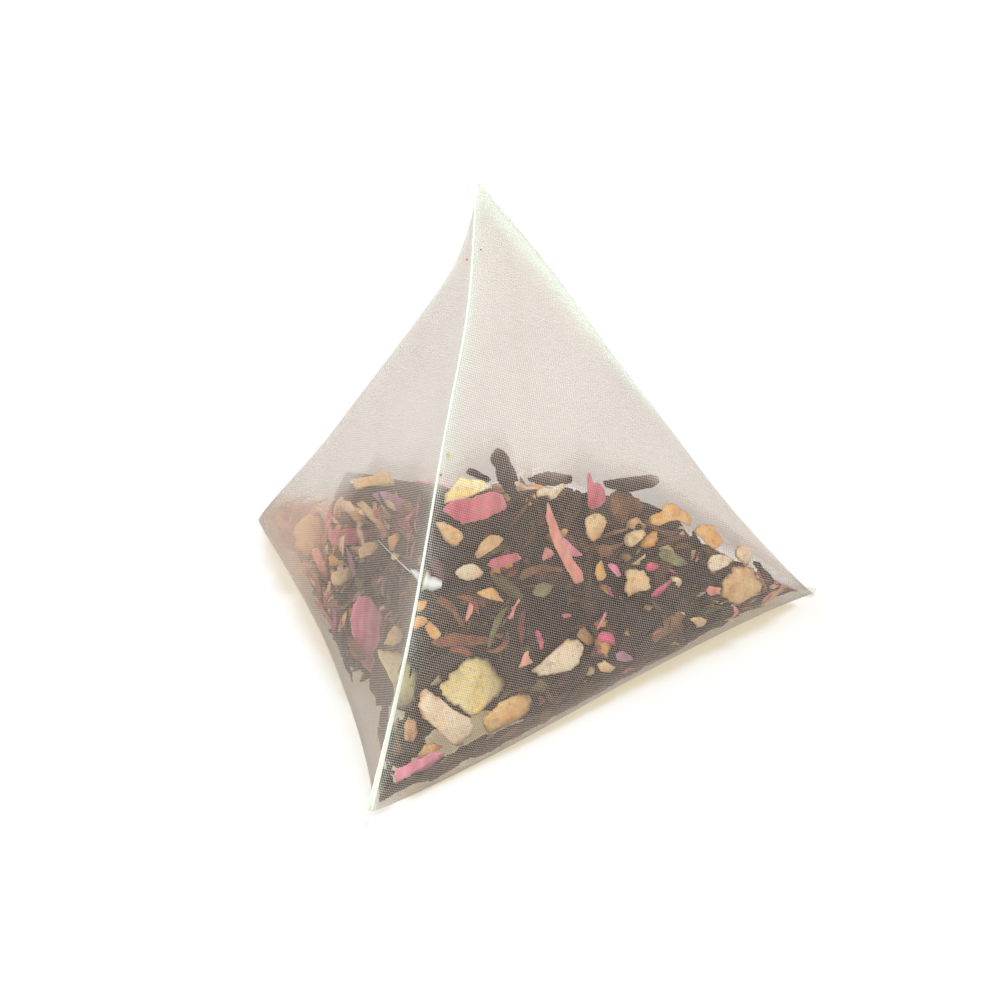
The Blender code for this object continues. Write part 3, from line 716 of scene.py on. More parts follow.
LEAVES = {
    "brown": ((0.09, 0.04, 0.02), (0.24, 0.11, 0.05), (0.42, 0.24, 0.12)),
    "dark": ((0.016, 0.013, 0.013), (0.05, 0.035, 0.03), (0.13, 0.09, 0.07)),
    "rust": ((0.16, 0.05, 0.03), (0.36, 0.13, 0.07), (0.56, 0.28, 0.17)),
    "green": ((0.10, 0.10, 0.04), (0.24, 0.23, 0.11), (0.44, 0.40, 0.22)),
}
LOOKS = {}
for tones, kind, part, make in (
    (FRUIT, "fruit", "flesh", fruit_material),
    (PETALS, "petal", "skin", petal_material),
    (LEAVES, "leaf", "skin", leaf_material),
):
    for colour, row in tones.items():
        LOOKS[colour] = (f"{colour}_{kind}", make(f"{colour}_{part}", *row))

# Kind, colour, side it lies on, bearing in degrees, height, thickness and turn in degrees, then the outline,
# along and across by turns, in tenths of a millimetre
PIECES = {
    "beige_fruit_strip": (
        "chunk", "cream", "wall", 7.4, 4.7, 1.7, -51,
        -48, 1, -41, 10, 28, 19, 36, 16, 40, -12, 33, -16, -11, -12, -32, -13, -43, -8,
    ),
    "pink_folded_petal": (
        "sheet", "pink", "wall", 3.7, 1.7, 0.3, -4,
        -48, 5, 23, 10, 40, 6, 40, 1, 11, -8, -11, -11,
    ),
    "pale_fruit_slice": (
        "chunk", "lemon", "front", -1.2, 9.1, 1.7, -84,
        -33, -19, -30, 7, -4, 22, 23, 13, 27, 3, 25, -4, 33, -11, 28, -13, 17, -6, 4, -5,
    ),
    "pineapple_cube": (
        "chunk", "lemon", "wall", 12.5, 6.5, 1.9, -18,
        -51, -2, -20, 23, -9, 28, 6, 28, 19, 24, 38, 7, 43, -2, 11, -28, 2, -30,
    ),
    "crumbled_mango": (
        "chunk", "orange", "wall", 20.7, 2.8, 1.6, -2,
        -36, 7, -8, 17, 22, 18, 33, 9, 37, -7, 29, -16, 10, -20, -10, -19, -25, -15, -35, -4,
    ),
    "rose_petal": (
        "sheet", "rose", "wall", 11.1, 21.9, 0.3, -9,
        -47, 3, -38, 9, -25, 11, -8, 10, 23, 14, 34, 8, 40, 1, 41, -7, 8, -14, -22, -15,
    ),
    "pale_fruit_chunk": (
        "chunk", "lemon", "front", 7.8, 23.3, 1.8, 20,
        -27, -6, -20, 2, 0, 14, 21, 2, 25, -6, 0, -9,
    ),
    "seam_fruit_crumb": (
        "chunk", "tan", "front", -7.2, 10.9, 1.8, 45,
        -15, 2, 1, 8, 9, 8, 11, 0, 8, -8, 0, -10, -9, -6,
    ),
    "tan_fruit_chunk": (
        "chunk", "tan", "front", 5.2, 20.3, 1.8, -41,
        -20, 0, -12, 6, 8, 10, 15, 5, 16, -3, 10, -8, 2, -9,
    ),
    "curled_peel": (
        "chunk", "tan", "wall", 14.5, 18.1, 1.5, 10,
        -21, 0, -5, 9, 9, 10, 20, 4, 26, -4, 15, -7, -12, -7, -19, -5,
    ),
    "green_leaf_strip": (
        "sheet", "green", "wall", 18.8, 17.4, 0.3, 8,
        -28, 1, 19, 6, 22, 1, 17, -6,
    ),
    "red_petal_strip": (
        "sheet", "rose", "wall", 20.1, 16.2, 0.3, -7,
        -26, 1, -16, 6, 21, 6, 29, -3, -4, -6, -20, -4,
    ),
    "cream_fruit_nib": (
        "chunk", "cream", "wall", 9.9, 16.5, 1.6, -19,
        -21, -2, -18, 4, -10, 8, 6, 10, 17, 5, 21, 0, 14, -7, 2, -9, -11, -8,
    ),
    "golden_fruit_nib": (
        "chunk", "orange", "wall", 16.2, 13.7, 1.6, -35,
        -24, -4, 0, 10, 23, -3, -13, -6,
    ),
    "peach_sliver": (
        "sheet", "salmon", "wall", 10.4, 13, 0.3, 56,
        12, 3, 10, -4, 1, -5, -12, 0, -8, 4,
    ),
    "cream_curl": (
        "stick", "cream", "wall", 45.3, 20.7, 1.2, -5,
        -21, 4, -11, 8, -2, 4, 21, 6, 24, 2, 7, -8, -1, -9, -5, -3, -20, -2,
    ),
    "dark_leaf_roll": (
        "stick", "dark", "wall", 94.6, 18.7, 1.5, -15,
        -42, 5, 38, 7, 41, -1, 28, -7, -10, -10, -39, -1,
    ),
    "red_petal_shard": (
        "sheet", "rose", "wall", 74.2, 19.3, 0.3, -80,
        -23, -3, -23, 1, -9, 1, -8, 7, -1, 12, 17, 13, 21, 5, 17, -13, 8, -15,
    ),
    "salmon_petal": (
        "sheet", "salmon", "wall", 48.8, 15.6, 0.3, -72,
        -50, 2, -48, 5, -38, 5, 11, 3, 46, 9, 49, 2, 43, -7, -11, -10, -42, -4,
    ),
    "magenta_petal": (
        "sheet", "pink", "wall", 53.8, 14.9, 0.3, -54,
        -20, 3, 19, 5, 6, -8, -11, -5,
    ),
    "small_pink_petal": (
        "sheet", "pink", "wall", 74.4, 11.6, 0.3, -48,
        -13, -1, -10, 4, 0, 7, 13, 0, 9, -5,
    ),
    "brown_fruit_crumb": (
        "chunk", "brown", "wall", 88.1, 16.8, 1.7, -31,
        -25, 9, -16, 16, -2, 17, 23, 10, 28, 3, 20, -4, 7, -6, 8, -15, 0, -22, -11, -17, -20, -7, -25, 1,
    ),
    "russet_fruit_crumb": (
        "chunk", "tan", "wall", 69.8, 16.1, 1.6, -22,
        -15, 9, -3, 14, 10, 14, 16, 6, 9, -14, -1, -17, -11, -10, -16, 0,
    ),
    "orange_peel_crumb": (
        "chunk", "orange", "wall", 103.4, 14.4, 1.6, -17,
        33, -5, 27, -12, 13, -5, -3, -6, -21, -12, -29, -6, -28, 2, -13, 5, -12, 12, -4, 16, 27, 3,
    ),
    "orange_peel_nib": (
        "chunk", "orange", "wall", 111.5, 11.1, 1.6, -35,
        -26, -1, -17, 8, -2, 13, 9, 14, 21, 6, 20, -3, 13, -12, 4, -13,
    ),
    "cream_fruit_block": (
        "chunk", "cream", "wall", 117.9, 7.8, 1.7, -17,
        -23, 4, -14, 11, 25, 8, 8, -10, -8, -11, -21, -3,
    ),
    "tan_fruit_block": (
        "chunk", "tan", "wall", 113.9, 5.2, 2, -13,
        38, 1, 33, -8, 20, -15, -11, -21, -28, -14, -35, -2, -34, 9, -5, 23, 16, 19,
    ),
    "peach_peel": (
        "sheet", "salmon", "wall", 106.2, 6.2, 0.3, -17,
        -14, 0, -8, 6, 15, 2, 8, -5, -5, -7,
    ),
    "dark_leaf_blade": (
        "sheet", "dark", "wall", 113.8, 3, 0.3, -6,
        -46, -8, -32, -1, -3, 4, 5, 9, 16, 10, 60, -17,
    ),
    "pale_fruit_flake": (
        "chunk", "tan", "wall", 81.9, 9.8, 1.6, -9,
        -14, 16, 14, 12, 20, 3, 20, -10, -4, -11, -12, -16, -17, -5, -12, 4,
    ),
    "cream_fruit_wedge": (
        "chunk", "cream", "wall", 40.3, 5.8, 1.9, 0,
        -42, 1, 12, 16, 24, 14, 37, 6, 26, -12, 14, -16, -19, -12, -34, -6,
    ),
    "orange_rind_nib": (
        "chunk", "orange", "wall", 54.2, 6.7, 1.5, -48,
        -16, -9, -15, 8, 3, 4, 17, 6, 10, -10,
    ),
    "pink_petal_chip": (
        "sheet", "salmon", "wall", 27, 7, 0.3, 22,
        -15, 0, 2, 8, 10, 6, 6, 0, 7, -10,
    ),
    "rose_petal_sliver": (
        "sheet", "pink", "wall", 61.8, 7.7, 0.3, 40,
        -13, 2, 15, 1, 9, -3, -13, -1,
    ),
    "green_leaf_flake": (
        "sheet", "green", "wall", 35.7, 12.3, 0.3, -8,
        -15, 1, -7, 7, 5, 8, 17, 2, 12, -5, 0, -9, -11, -6,
    ),
    "brown_leaf_curl": (
        "stick", "brown", "wall", 34.9, 14, 0.9, -10,
        -28, -3, -24, 4, -9, 7, 5, 7, 34, -1, 32, -5, 5, 1, -24, -6,
    ),
    "olive_leaf": (
        "sheet", "green", "wall", 98.8, 10.7, 0.3, -34,
        -23, -2, -18, 5, -6, 8, 24, 0, 14, -8, -14, -7,
    ),
    "peach_fruit_flake": (
        "chunk", "cream", "wall", 110.2, 8.5, 1.4, -10,
        25, -1, 14, -7, -12, -10, -17, 0, -13, 8, -5, 10, 12, 7,
    ),
    "ember_crumb": (
        "chunk", "orange", "wall", 3.4, 12.8, 1.3, -44,
        -13, 0, -9, 8, 4, 8, 15, 3, 11, -5, 1, -8,
    ),
    "bent_stem": (
        "stick", "brown", "wall", 6.5, 13.7, 0.5, -54,
        -30, -5, -12, 4, 4, 5, 20, 3, 27, -2, 21, -4, -2, 1,
    ),
    "rust_leaf": (
        "sheet", "rust", "wall", 9.1, 10.9, 0.3, -18,
        -44, 0, -15, 8, 52, 0, 42, -5, -20, -6, -38, -6,
    ),
    "olive_stalk": (
        "stick", "green", "wall", 17.7, 10.8, 0.8, 42,
        27, -4, -25, -3, -22, 2, 5, 6, 18, 4,
    ),
    "ochre_crumb": (
        "chunk", "tan", "wall", 61.1, 3.3, 1.4, -31,
        -19, -1, -9, 6, 19, 2, 13, -6, -8, -7,
    ),
    "upright_leaf": (
        "sheet", "dark", "wall", 21.7, 23.9, 0.3, -68,
        -29, 1, -26, 7, -18, 11, 0, 12, 18, 9, 15, 3, 25, 1, 34, 2, 27, -11, -1, -15, -15, -9, -18, -11,
        -27, -8,
    ),
    "tilted_leaf": (
        "sheet", "dark", "wall", 11, 24.6, 0.3, -32,
        -19, -4, -16, 3, -10, 5, 21, 1, 16, -5,
    ),
    "left_orange_crumb": (
        "chunk", "orange", "front", -65.9, 17.4, 1.7, 4,
        -25, 3, 1, 6, 9, 11, 18, 9, 23, -8, -4, -5, -15, -8, -23, -4,
    ),
    "left_mauve_petal": (
        "sheet", "mauve", "front", -34.2, 18, 0.3, -27,
        -24, -2, -20, 6, -13, 8, 18, 9, 24, 6, 12, -11, 5, -12,
    ),
    "left_peel_strip": (
        "stick", "tan", "front", -49, 15.3, 1, -39,
        -26, -2, -23, 5, 21, 3, 27, 0, -4, -6,
    ),
    "left_dark_leaf": (
        "sheet", "dark", "front", -13.5, 21.5, 0.3, -16,
        -15, 1, -6, 8, 3, 6, 17, -2, -13, -6,
    ),
    "left_pink_petal": (
        "sheet", "pink", "front", -24.3, 7.9, 0.3, -84,
        -39, -2, -35, 7, -27, 12, -15, 17, 8, 18, 40, -1, 35, -8, 25, -13, -13, -18, -34, -10,
    ),
    "left_tan_chunk": (
        "chunk", "tan", "front", -62.5, 8.4, 1.8, 17,
        15, -2, 7, -7, -3, -9, -11, -6, -13, 2, -10, 8, 12, 7,
    ),
    "left_peach_curl": (
        "stick", "salmon", "front", -80, 7.2, 1.4, -66,
        -20, -4, -20, 5, 1, 6, 22, 2, 19, -3, 9, -5,
    ),
    "left_brown_flake": (
        "sheet", "brown", "front", -31, 5.6, 0.3, -57,
        -17, 2, -9, 5, 17, 5, 14, -4, 6, -7, -12, -3,
    ),
    "left_corner_fruit": (
        "chunk", "orange", "front", -94, 7.9, 1.8, 9,
        1, 23, 14, 16, 20, 2, 15, -15, 4, -21, -7, -20, -17, -11, -18, 8, -11, 17,
    ),
    "rear_orange_crumb": ("chunk", "orange", "wall", 158, 8.6, 1.7, 15, *block(42, 26)),
    "rear_cream_chunk": ("chunk", "cream", "wall", -168, 5.2, 1.8, -20, *block(44, 32)),
    "rear_pink_petal": ("sheet", "pink", "wall", -142, 8.2, 0.3, 24, *leafy(52, 28)),
    "rear_leaf": ("sheet", "dark", "wall", 176, 11.8, 0.3, -12, *leafy(56, 22)),
    "pale_nib": (
        "chunk", "cream", "wall", 4.7, 8.5, 1.3, -12,
        -12, 2, -3, 9, 8, 5, 12, -2, 4, -7, -8, -6,
    ),
    "low_orange_crumb": (
        "chunk", "orange", "wall", 5.2, 2.8, 1.2, -3,
        -20, 1, -8, 8, 8, 5, 22, -1, -13, -6,
    ),
    "shore_leaf": (
        "sheet", "dark", "wall", 109.5, 7.2, 0.3, 6,
        22, 4, 16, -4, -1, -10, -13, -4, -18, 4,
    ),
    "corner_ochre": (
        "chunk", "tan", "wall", 101.3, 3.6, 1.3, -37,
        -20, -2, -8, 6, 6, 6, 19, -1, 2, -8,
    ),
    "rose_chip": (
        "sheet", "rose", "wall", 45.6, 9.3, 0.3, -17,
        -9, 2, 5, 3, 9, -1, -5, -4,
    ),
    "orange_chip": (
        "chunk", "orange", "wall", 22.1, 21.7, 0.9, -69,
        -7, -3, -4, 5, 6, 3, 5, -5,
    ),
    "left_ochre_crumb": (
        "chunk", "tan", "front", -47.7, 12.6, 1.3, 27,
        12, 4, 12, -5, -1, -8, -13, -5, -11, 5, 1, 8,
    ),
    "left_red_flake": (
        "sheet", "rose", "front", -68.8, 11.7, 0.3, 6,
        30, -3, -5, -10, -20, -9, -26, -1, -23, 8, -7, 9, 27, 5,
    ),
    "dark_chip": (
        "sheet", "dark", "wall", 48.5, 21.5, 0.3, -20,
        -8, 2, -1, 6, 10, 2, 5, -5, -6, -6,
    ),
    "bark_curl": (
        "sheet", "brown", "wall", 74.6, 13.6, 0.3, -7,
        -21, 6, -11, 8, 1, 4, 22, 5, 19, 0, 3, -2, 6, -7, -5, -9, -16, -5,
    ),
    "amber_crumb": (
        "chunk", "orange", "wall", 67.3, 11.9, 1.2, 74,
        14, -1, -5, -10, -11, -3, -10, 5, -3, 8, 9, 6,
    ),
    "low_mauve": (
        "sheet", "mauve", "wall", 69.8, 3.5, 0.3, -34,
        -19, 0, -8, 6, 7, 5, 22, 0, 8, -5, -11, -6,
    ),
}

# Side that is toasted, in degrees from the length, and folds of petals as direction, offset and slope
TOAST = {
    "pineapple_cube": 20,
    "pale_fruit_slice": 180,
    "beige_fruit_strip": 200,
    "crumbled_mango": 40,
    "cream_fruit_wedge": 60,
    "tan_fruit_block": 100,
    "cream_fruit_nib": -20,
    "curled_peel": 100,
    "pale_fruit_chunk": 200,
    "cream_curl": 180,
}
FOLDS = {
    "rose_petal": ((-70, 0.5, 0.12),),
    "pink_folded_petal": ((95, 0.0, 0.3),),
    "salmon_petal": ((90, 0.1, 0.14),),
    "left_pink_petal": ((0, 0.3, 0.1),),
    "red_petal_shard": ((90, 0.2, 0.14),),
    "upright_leaf": ((80, 0.2, 0.12),),
}
for seed, (name, row) in enumerate(PIECES.items(), 1):
    kind, colour, facing, bearing, height, thick, turn, *outline = row
    outline = np.array(outline, float).reshape(-1, 2) / 10
    if kind == "chunk":
        toast = TOAST.get(name, 77 * seed % 360)
        shape, found, edge = solid_piece(outline, thick, seed, 6.0, 0.08, 0.06, 5, toast=toast)
    elif kind == "sheet":
        shape, found, edge = solid_piece(outline, thick, seed, 8.0, 0.03, 0.06, 0, FOLDS.get(name, ()), 0.12)
    else:
        shape, found, edge = solid_piece(outline, thick, seed, 2.0, 0.05, 0.04)
    if facing == "front":
        tries = [("front", step) for step in range(50)]
    else:
        ways = ["middle"] if abs(bearing) > REAR_BEARING else ["straight", "mixed"]
        tries = [(sunk, step) for sunk in ways for step in range(28)]
    for sunk, step in tries:
        laid = follow_wall(shape, bearing, height, 0.35 + 0.2 * step, turn, sunk)
        if clear_of_wall(laid) and clear_of_pieces(laid, found):
            break
    settle(laid, found)
    slot, look = LOOKS[colour]
    made = add_object(name + "_detail", laid, found, look, floats={"edge": edge})
    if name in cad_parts:
        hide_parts(name)

pieces_tree = BVHTree.FromPolygons(all_points, all_faces)

# Heap of leaf: a dark rough core under hundreds of twisted shreds
FILL, LAYER = 16.0, 3.0
NEARBY = math.cos(0.13)
taken = np.vstack([points for low, high, points, tree in settled]) - np.array(CENTRE)
taken_reach = np.linalg.norm(taken, axis=1)
taken /= taken_reach[:, None]
slope = Vector((0.0, 0.36, 1.0)).normalized()
TURNS, ROWS = 96, 40


def heap_point(turn, tilt):
    """A point of the heap's core, below the slope of its top and behind the wall and the pieces."""
    way = Vector((math.cos(turn) * math.sin(tilt), math.sin(turn) * math.sin(tilt), -math.cos(tilt)))
    met, normal = inside.ray_cast(CENTRE, way)[:2]
    lean = max(0.55, abs(way.dot(normal)))
    under = max(0.0, min(1.0, (-way.z - 0.35) / 0.3))
    back = (LAYER * (1 - under) + 2 * CLEAR * under) / lean
    reach = (met - CENTRE).length - back
    climb = way.dot(slope)
    if climb > 0.02:
        bumps = 0.7 * math.sin(3 * turn + 1.3) * math.sin(3 * tilt)
        reach = min(reach, (FILL - CENTRE.z + bumps) / climb)
    reach += 0.6 * (1 - under) * rough(way, 9.0, 3)
    # The core stays behind the pieces that lie in this direction
    aligned = taken @ np.array(way) > NEARBY
    if aligned.any():
        reach = min(reach, taken_reach[aligned].min() - 0.4)
    return CENTRE + way * reach


core = [heap_point(0.0, 0.0)]
for i in range(1, ROWS):
    for j in range(TURNS):
        core.append(heap_point(2 * math.pi * j / TURNS, math.pi * i / ROWS))
core.append(heap_point(0.0, math.pi))
core_faces = []
last = len(core) - 1
for j in range(TURNS):
    k = (j + 1) % TURNS
    core_faces.append((0, 1 + k, 1 + j))
    for i in range(ROWS - 2):
        a = 1 + i * TURNS
        core_faces.append((a + j, a + k, a + TURNS + k, a + TURNS + j))
    a = 1 + (ROWS - 2) * TURNS
    core_faces.append((a + k, last, a + j))
core_look = leaf_material("heap_core", (0.012, 0.010, 0.010), (0.045, 0.032, 0.026), (0.12, 0.08, 0.055))
heap = add_object("tea_leaf_core", core, core_faces, core_look)
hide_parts("tea_leaf_heap")

# Tones of the small leaf, as colour and weight, and how they shift from place to place
DARK_LEAF = [
    ((0.014, 0.012, 0.013), 10), ((0.028, 0.022, 0.021), 9),
    ((0.060, 0.038, 0.028), 6), ((0.11, 0.10, 0.050), 2),
]
BROWN_LEAF = [((0.13, 0.058, 0.034), 5), ((0.25, 0.14, 0.075), 2), ((0.17, 0.085, 0.060), 3)]
RUSTY_LEAF = [((0.30, 0.10, 0.055), 5), ((0.20, 0.055, 0.050), 3), ((0.42, 0.20, 0.12), 2)]
MAUVE_LEAF = [((0.16, 0.075, 0.095), 5), ((0.30, 0.15, 0.20), 2), ((0.34, 0.22, 0.17), 3)]
PEACH_LEAF = [
    ((0.82, 0.46, 0.26), 4), ((0.86, 0.60, 0.42), 4),
    ((0.60, 0.29, 0.18), 4), ((0.30, 0.14, 0.09), 3),
]
CRUMBS = [((0.78, 0.40, 0.13), 4), ((0.84, 0.62, 0.34), 4), ((0.62, 0.36, 0.17), 4)]
CHIPS = [((0.66, 0.13, 0.22), 3), ((0.80, 0.32, 0.30), 2), ((0.45, 0.12, 0.20), 2)]
draw = random.Random(7)


def pick(*groups):
    """A tone drawn by weight from groups of tones."""
    tones = [tone for group in groups for tone in group]
    return draw.choices([tone for tone, weight in tones], [weight for tone, weight in tones])[0]


# Height below which the left face is empty
LOW_BEARINGS = (-95, -62, -40, -20, -8, 0)
LOW_HEIGHTS = (0.6, 0.8, 2.0, 5.0, 5.0, 0.8)
shred_points, shred_faces, shred_tones = [], [], []
shreds_look = tone_material("leaf_shreds")


def add_shred(bearing, height, depth, size, turn, lift, tone, blunt=0.75, twist=2.5, cover=0.05):
    """A twisted, tapering leaf shred, kept if it is clear of the larger pieces and seldom hides one."""
    length, width, flat = size
    bend = draw.uniform(-0.35, 0.35)
    twist = draw.uniform(-twist, twist)
    phase = draw.uniform(-0.3, 0.3) if flat < 0.4 * width else draw.uniform(0, math.pi)
    stations, sides = 6, 5
    shape = []
    for i in range(stations):
        x = i / (stations - 1) * 2 - 1
        fat = (1 - blunt * abs(x) ** 2.2) * draw.uniform(0.75, 1.2)
        y = bend * length * (0.5 - x * x) * 0.5
        z = lift * x * length / 2
        for j in range(sides):
            turned = 2 * math.pi * j / sides
            p = math.cos(turned) * fat * width / 2
            q = math.sin(turned) * fat * flat / 2
            cos, sin = math.cos(phase + twist * x), math.sin(phase + twist * x)
            shape.append((x * length / 2, y + p * cos - q * sin, z + p * sin + q * cos))
    high = min(c for a, b, c in shape)
    try:
        laid = follow_wall([(a, b, c - high) for a, b, c in shape], bearing, height, depth, turn)
    except TypeError:
        return
    for p in laid:
        if p[2] < 0.2 or pieces_tree.find_nearest(p, 0.22)[0] is not None:
            return
    if draw.random() >= cover:
        for p in laid[::2]:
            if pieces_tree.ray_cast(p, VIEW, 12.0)[0] is not None:
                return
    shred_faces.extend(tube_faces(len(shred_points), stations, sides))
    shred_points.extend(laid)
    shred_tones.extend([tone] * len(laid))


def add_shreds(name):
    """Makes one piece of the shreds gathered so far."""
    add_object(name, shred_points, shred_faces, shreds_look, colours={"tone": shred_tones})
    for gathered in (shred_points, shred_faces, shred_tones):
        gathered.clear()


def near_corner(bearing):
    return bearing < -68 or bearing > 119


def rolled_groups(bearing, height):
    """Tones of the rolled leaf at a place."""
    if 8 < bearing < 36 and 8 < height < 19:
        return [DARK_LEAF, BROWN_LEAF, RUSTY_LEAF, RUSTY_LEAF]
    if near_corner(bearing):
        return [PEACH_LEAF, PEACH_LEAF, BROWN_LEAF]
    if bearing < 4:
        return [DARK_LEAF, BROWN_LEAF, MAUVE_LEAF, RUSTY_LEAF]
    # Low on the right side only the darkest leaf: painted shade for the underside, which lies in shadow.
    if 84 < bearing < 119 and height < 10:
        return [DARK_LEAF]
    return [DARK_LEAF, BROWN_LEAF]


def flat_groups(bearing):
    """Tones of the broken flat leaf at a place."""
    if near_corner(bearing):
        return [PEACH_LEAF]
    if bearing > 30:
        return [DARK_LEAF, DARK_LEAF, BROWN_LEAF]
    return [DARK_LEAF, BROWN_LEAF, RUSTY_LEAF, MAUVE_LEAF]


ROLLED_SHARE, FLAT_SHARE, CRUMB_SHARE = 0.56, 0.90, 0.96
for n in range(5200):
    where = draw.random()
    span = (98, 122) if where < 0.12 else (-122, -70) if where < 0.24 else (-180, 180)
    bearing = draw.uniform(*span)
    low = np.interp(bearing, LOW_BEARINGS, LOW_HEIGHTS)
    height = draw.uniform(low, np.interp(bearing, FILL_BEARINGS, FILL_HEIGHTS))
    kind = draw.random()
    if kind < ROLLED_SHARE:
        width = draw.uniform(0.45, 1.2)
        size = (draw.uniform(2.2, 6.5), width, width * draw.uniform(0.4, 0.8))
        depth, turn, lift = draw.uniform(0.3, 3.4), draw.gauss(0, 45), draw.uniform(-0.12, 0.12)
        add_shred(bearing, height, depth, size, turn, lift, pick(*rolled_groups(bearing, height)))
    elif kind < FLAT_SHARE:
        size = (draw.uniform(2.4, 6.0), draw.uniform(1.2, 2.8), 0.22)
        depth, turn, lift = draw.uniform(0.3, 3.0), draw.gauss(0, 50), draw.uniform(-0.1, 0.1)
        add_shred(bearing, height, depth, size, turn, lift, pick(*flat_groups(bearing)), 0.6, 0.5)
    elif kind < CRUMB_SHARE:
        wide = draw.uniform(0.8, 1.9)
        size = (wide * draw.uniform(1.0, 1.6), wide, wide * 0.8)
        depth, turn = draw.uniform(0.3, 1.6), draw.uniform(0, 180)
        add_shred(bearing, height, depth, size, turn, 0.0, pick(CRUMBS), 0.5, 0.3)
    else:
        size = (draw.uniform(1.2, 2.8), draw.uniform(0.6, 1.3), 0.2)
        depth, turn = draw.uniform(0.3, 1.4), draw.uniform(0, 180)
        add_shred(bearing, height, depth, size, turn, 0.0, pick(CHIPS), 0.5, 0.4)
add_shreds("tea_leaf_shreds")

# Leaf dust and thin leaf in the fold along the foot of the bag
for n in range(900):
    bearing = draw.uniform(-2, 122) if draw.random() < 0.7 else draw.uniform(-180, 180)
    size = (draw.uniform(1.2, 4.0), draw.uniform(0.4, 1.0), 0.3)
    height = draw.uniform(0.4, 1.8)
    if -45 < bearing < -5:
        continue
    depth, turn = draw.uniform(-0.1, 0.4), draw.gauss(0, 12)
    add_shred(bearing, height, depth, size, turn, 0.0, pick(DARK_LEAF, DARK_LEAF, BROWN_LEAF), 0.6, 0.4)
add_shreds("tea_leaf_dust")

# Broad dark leaf deeper in, behind the pieces of the front corner and of the left side
for n in range(3000):
    left = draw.random() < 0.35
    bearing = draw.uniform(-112, -10) if left else draw.uniform(-8, 30)
    if left:
        low = np.interp(bearing, LOW_BEARINGS, LOW_HEIGHTS)
        height = draw.uniform(low, min(14.0, np.interp(bearing, FILL_BEARINGS, FILL_HEIGHTS)))
    else:
        height = 0.5 + 21.0 * draw.random() ** 1.5
    size = (draw.uniform(3.0, 7.0), draw.uniform(1.4, 3.0), 0.3)
    tone = pick(DARK_LEAF, BROWN_LEAF, MAUVE_LEAF) if left else pick(DARK_LEAF)
    depth, turn, lift = draw.uniform(0.7, 6.5), draw.gauss(0, 45), draw.uniform(-0.1, 0.1)
    add_shred(bearing, height, depth, size, turn, lift, tone, 0.6, 0.6, 0.0)
add_shreds("tea_leaf_deep")

# Seals: a pale welded strip outside each end of the tube
seal_look = gauze_material("welded_strip", (0.82, 0.82, 0.72), (0.82, 0.92, 0.80))

# Half section of a strip: share of its width and of its thickness
PROFILE = [(-0.1, 0.9), (0.15, 1.3), (0.35, 0.8), (0.8, 0.75), (1.0, 1.3), (1.1, 0.9)]


def seal_strip(name, u, first, outward, width, thick):
    """A thin welded strip along a flattened end of the tube."""
    rings = 260
    s = np.linspace(first, first + 0.5, rings)
    line, _ = at(np.full(rings, u), s)
    along = np.gradient(line, axis=0)
    along /= np.linalg.norm(along, axis=1)[:, None]
    points, mint_and_painted_sheen = [], []
    for n in range(rings):
        way = np.array(outward(n / (rings - 1)))
        way = way / np.linalg.norm(way)
        side = np.cross(along[n], way)
        side /= np.linalg.norm(side)
        reach = width(n / (rings - 1)) * (1 + 0.03 * math.sin(1.7 * n) + 0.02 * math.sin(0.6 * n))
        for share, fat in PROFILE + [(share, -fat) for share, fat in reversed(PROFILE)]:
            points.append(line[n] + way * reach * share + side * thick * fat / 2)
            # The welded strip's own pale mint, brighter along its rim and inner ridge as painted sheen.
            mint_and_painted_sheen.append(0.9 if share > 0.9 or share < 0.3 else 0.3)
    points = np.array(points)
    points[:, 2] = np.maximum(points[:, 2], 0.01)
    faces = tube_faces(0, rings, 2 * len(PROFILE))
    return add_object(name, points, faces, seal_look, floats={"mint_and_painted_sheen": mint_and_painted_sheen})


def front_way(t):
    return -INWARD + np.array([0.1 - 0.6 * t**3, 0, 0])


front_seal = seal_strip("front_seal", 0.0, 0.0, front_way, lambda t: 0.18 + 0.42 * t**3, 0.12)
rear_seal = seal_strip("rear_seal", 1.0, 0.25, lambda t: (0.0, 1.0, 0.02), lambda t: 0.8, 0.16)

# The long weld down the hidden rear face, from the apex to the middle of the rear seal
WELD_SECTION = ((-0.004, 0.10), (0.0, 0.13), (0.004, 0.10), (0.004, 0.06), (-0.004, 0.06))
weld_u = np.linspace(0.015, 0.985, 120)
weld_points = []
for u in weld_u:
    for s, lift in WELD_SECTION:
        point, out = at(np.array([u]), np.array([s]))
        weld_points.append(point[0] + out[0] * lift)
weld_faces = tube_faces(0, len(weld_u), len(WELD_SECTION))
# Mostly pale mint, as painted sheen.
weld_sheen = [0.8] * len(weld_points)
weld_look = gauze_material("weld_film", (0.80, 0.76, 0.68), (0.82, 0.90, 0.80))
weld_look.node_tree.nodes["Principled BSDF"].inputs["Alpha"].default_value = 0.25
rear_weld = add_object("rear_weld", weld_points, weld_faces, weld_look, floats={"mint_and_painted_sheen": weld_sheen})
rear_weld.visible_shadow = False

